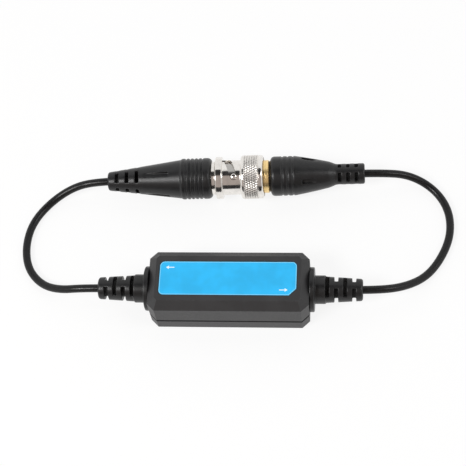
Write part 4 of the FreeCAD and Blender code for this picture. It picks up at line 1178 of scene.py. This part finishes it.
class ISOLATOR_OT_leads(PieceOperator, bpy.types.Operator):
    """Lay the two leads from the case round to the connector"""

    bl_idname = "isolator.leads"
    bl_label = "Leads"

    def lay(self, name, node, route, end, length, looks):
        """One lead along its route. It ends at stations inside a boot, on the connector axis."""
        curve = bpy.data.curves.new(name, "CURVE")
        curve.dimensions = "3D"
        curve.bevel_depth = LEAD_WIDTH / 2
        curve.bevel_resolution = 6
        curve.resolution_u = 16
        curve.use_fill_caps = True
        spots = [Vector(spot) * MM for spot in route] + [axis_point(along) for along in end]
        spline = curve.splines.new("NURBS")
        spline.points.add(len(spots) - 1)
        for point, spot in zip(spline.points, spots):
            point.co = (*spot, 1.0)
        spline.order_u = 3
        spline.use_endpoint_u = True
        lead = bpy.data.objects.new(name, curve)
        bpy.context.scene.collection.objects.link(lead)
        curve.materials.append(finishes(looks)["lead_black"])
        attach(lead, "root")
        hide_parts(node)
        return lead

    def build(self, looks, sizes):
        self.lay("lead_left", "cable_left", LEFT_ROUTE, LEFT_END, 0.0851, looks)
        self.lay("lead_right", "cable_right", RIGHT_ROUTE, RIGHT_END, 0.0885, looks)


class ISOLATOR_OT_solids(PieceOperator, bpy.types.Operator):
    """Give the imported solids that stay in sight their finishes"""

    bl_idname = "isolator.solids"
    bl_label = "Finishes of the solids"

    def build(self, looks, sizes):
        known = finishes(looks)
        for row in frame["record"]["subparts"]:
            node = frame["nodes"][row["node"]]
            node.data.materials.clear()
            node.data.materials.append(known[row["material_slot"]])


class ISOLATOR_OT_stage(PieceOperator, bpy.types.Operator):
    """Set up the floor, the lights and the camera"""

    bl_idname = "isolator.stage"
    bl_label = "Stage"

    def floor(self):
        """White paper that keeps the object's shadow."""
        mesh = bmesh.new()
        bmesh.ops.create_grid(mesh, x_segments=1, y_segments=1, size=3.0)
        data = bpy.data.meshes.new("floor")
        mesh.to_mesh(data)
        mesh.free()
        floor = bpy.data.objects.new("floor", data)
        bpy.context.scene.collection.objects.link(floor)
        m = Finish("floor_paper")
        m.finish(Base_Color=(0.88, 0.88, 0.88), Roughness=0.9, Specular_IOR_Level=0.1)
        tree = m.tree
        path = tree.nodes.new("ShaderNodeLightPath")
        seen = Wire(m, path.outputs["Is Camera Ray"])
        for ray in ("Is Glossy Ray", "Is Transmission Ray"):
            seen = seen.most(Wire(m, path.outputs[ray]))
        glow = tree.nodes.new("ShaderNodeEmission")
        mix = tree.nodes.new("ShaderNodeMixShader")
        m.feed(mix.inputs[0], seen * 0.85)
        tree.links.new(m.shader.outputs[0], mix.inputs[1])
        tree.links.new(glow.outputs[0], mix.inputs[2])
        output = next(n for n in tree.nodes if n.bl_idname == "ShaderNodeOutputMaterial")
        tree.links.new(mix.outputs[0], output.inputs["Surface"])
        floor.data.materials.append(m.material)
        floor.location.z = -0.02 * MM

    def lamp(self, name, place, watts):
        """A square soft lamp that is turned to the middle of the object."""
        target = (0, 0.02, 0.005)
        data = bpy.data.lights.new(name, "AREA")
        data.size = 0.3
        data.energy = watts
        lamp = bpy.data.objects.new(name, data)
        bpy.context.scene.collection.objects.link(lamp)
        lamp.location = place
        lamp.rotation_euler = (Vector(target) - Vector(place)).to_track_quat("-Z", "Y").to_euler()

    def camera(self):
        """The photograph's viewing angle."""
        data = bpy.data.cameras.new("camera")
        data.sensor_width = 36.0
        data.lens = CAMERA_LENS
        data.clip_start = 0.01
        data.clip_end = 20.0
        camera = bpy.data.objects.new("camera", data)
        bpy.context.scene.collection.objects.link(camera)
        forward = CAMERA_RIGHT.cross(CAMERA_DOWN)
        turned = Matrix((CAMERA_RIGHT, -CAMERA_DOWN, -forward)).transposed().to_4x4()
        camera.matrix_world = Matrix.Translation(CAMERA_PLACE) @ turned
        bpy.context.scene.camera = camera

    def world(self):
        """A studio that is bright behind the object and at its sides, with a dark strip overhead
        and a dim room in front. The lift is 0 at the back's horizon, 0.5 overhead and 1 at the
        front's."""
        world = bpy.data.worlds.new("studio")
        bpy.context.scene.world = world
        world.use_nodes = True
        m = Nodes(world.node_tree)
        x, y, z = m.split(m.node("ShaderNodeTexCoord", output="Generated"))
        lift = z.turn_to(y) / math.pi
        sweep = lift.fade(-0.06, -0.02) * lift.fade(0.395, 0.415, 1.0, 0.0)
        room = lift.fade(0.58, 0.6)
        sides = abs(x).fade(0.6, 0.75)
        strip_colour = (0.03, 0.03, 0.03)
        room_colour = (0.44, 0.385, 0.36)
        colour = m.blend(room, strip_colour, room_colour)
        colour = m.blend(sweep.most(sides), colour, (1.0, 1.0, 1.0))
        glow = m.node("ShaderNodeBackground", None, {"Color": colour, "Strength": 0.95})
        output = m.tree.nodes.new("ShaderNodeOutputWorld")
        m.tree.links.new(glow.socket, output.inputs["Surface"])

    def build(self, looks, sizes):
        self.floor()
        self.world()
        self.lamp("key", (-0.52, -0.4, 0.76), 5.6)
        self.lamp("fill", (0.6, -0.1, 0.8), 1.8)
        self.camera()
        bpy.context.scene.view_settings.view_transform = "Standard"


class ISOLATOR_PT_panel(bpy.types.Panel):
    """Lists the pieces of the isolator"""

    bl_label = "Isolator"
    bl_idname = "ISOLATOR_PT_panel"
    bl_space_type = "VIEW_3D"
    bl_region_type = "UI"
    bl_category = "Isolator"

    def draw(self, context):
        for group in (context.scene.isolator_sizes, context.scene.isolator_looks):
            box = self.layout.box()
            for name in group.__annotations__:
                box.prop(group, name)
        for operator in OPERATORS:
            self.layout.operator(operator.bl_idname)


OPERATORS = (
    ISOLATOR_OT_solids,
    ISOLATOR_OT_leads,
    ISOLATOR_OT_case,
    ISOLATOR_OT_reliefs,
    ISOLATOR_OT_jack_boot,
    ISOLATOR_OT_plug_boot,
    ISOLATOR_OT_nut,
    ISOLATOR_OT_band,
    ISOLATOR_OT_stage,
)
CLASSES = (IsolatorLooks, IsolatorSizes, *OPERATORS, ISOLATOR_PT_panel)


def register():
    for item in CLASSES:
        bpy.utils.register_class(item)
    bpy.types.Scene.isolator_looks = PointerProperty(type=IsolatorLooks)
    bpy.types.Scene.isolator_sizes = PointerProperty(type=IsolatorSizes)


def unregister():
    del bpy.types.Scene.isolator_sizes
    del bpy.types.Scene.isolator_looks
    for item in reversed(CLASSES):
        bpy.utils.unregister_class(item)


def main():
    register()
    bpy.ops.isolator.solids()
    bpy.ops.isolator.leads()
    bpy.ops.isolator.case()
    bpy.ops.isolator.reliefs()
    bpy.ops.isolator.jack_boot()
    bpy.ops.isolator.plug_boot()
    bpy.ops.isolator.nut()
    bpy.ops.isolator.band()
    bpy.ops.isolator.stage()


if __name__ == "__main__":
    main()
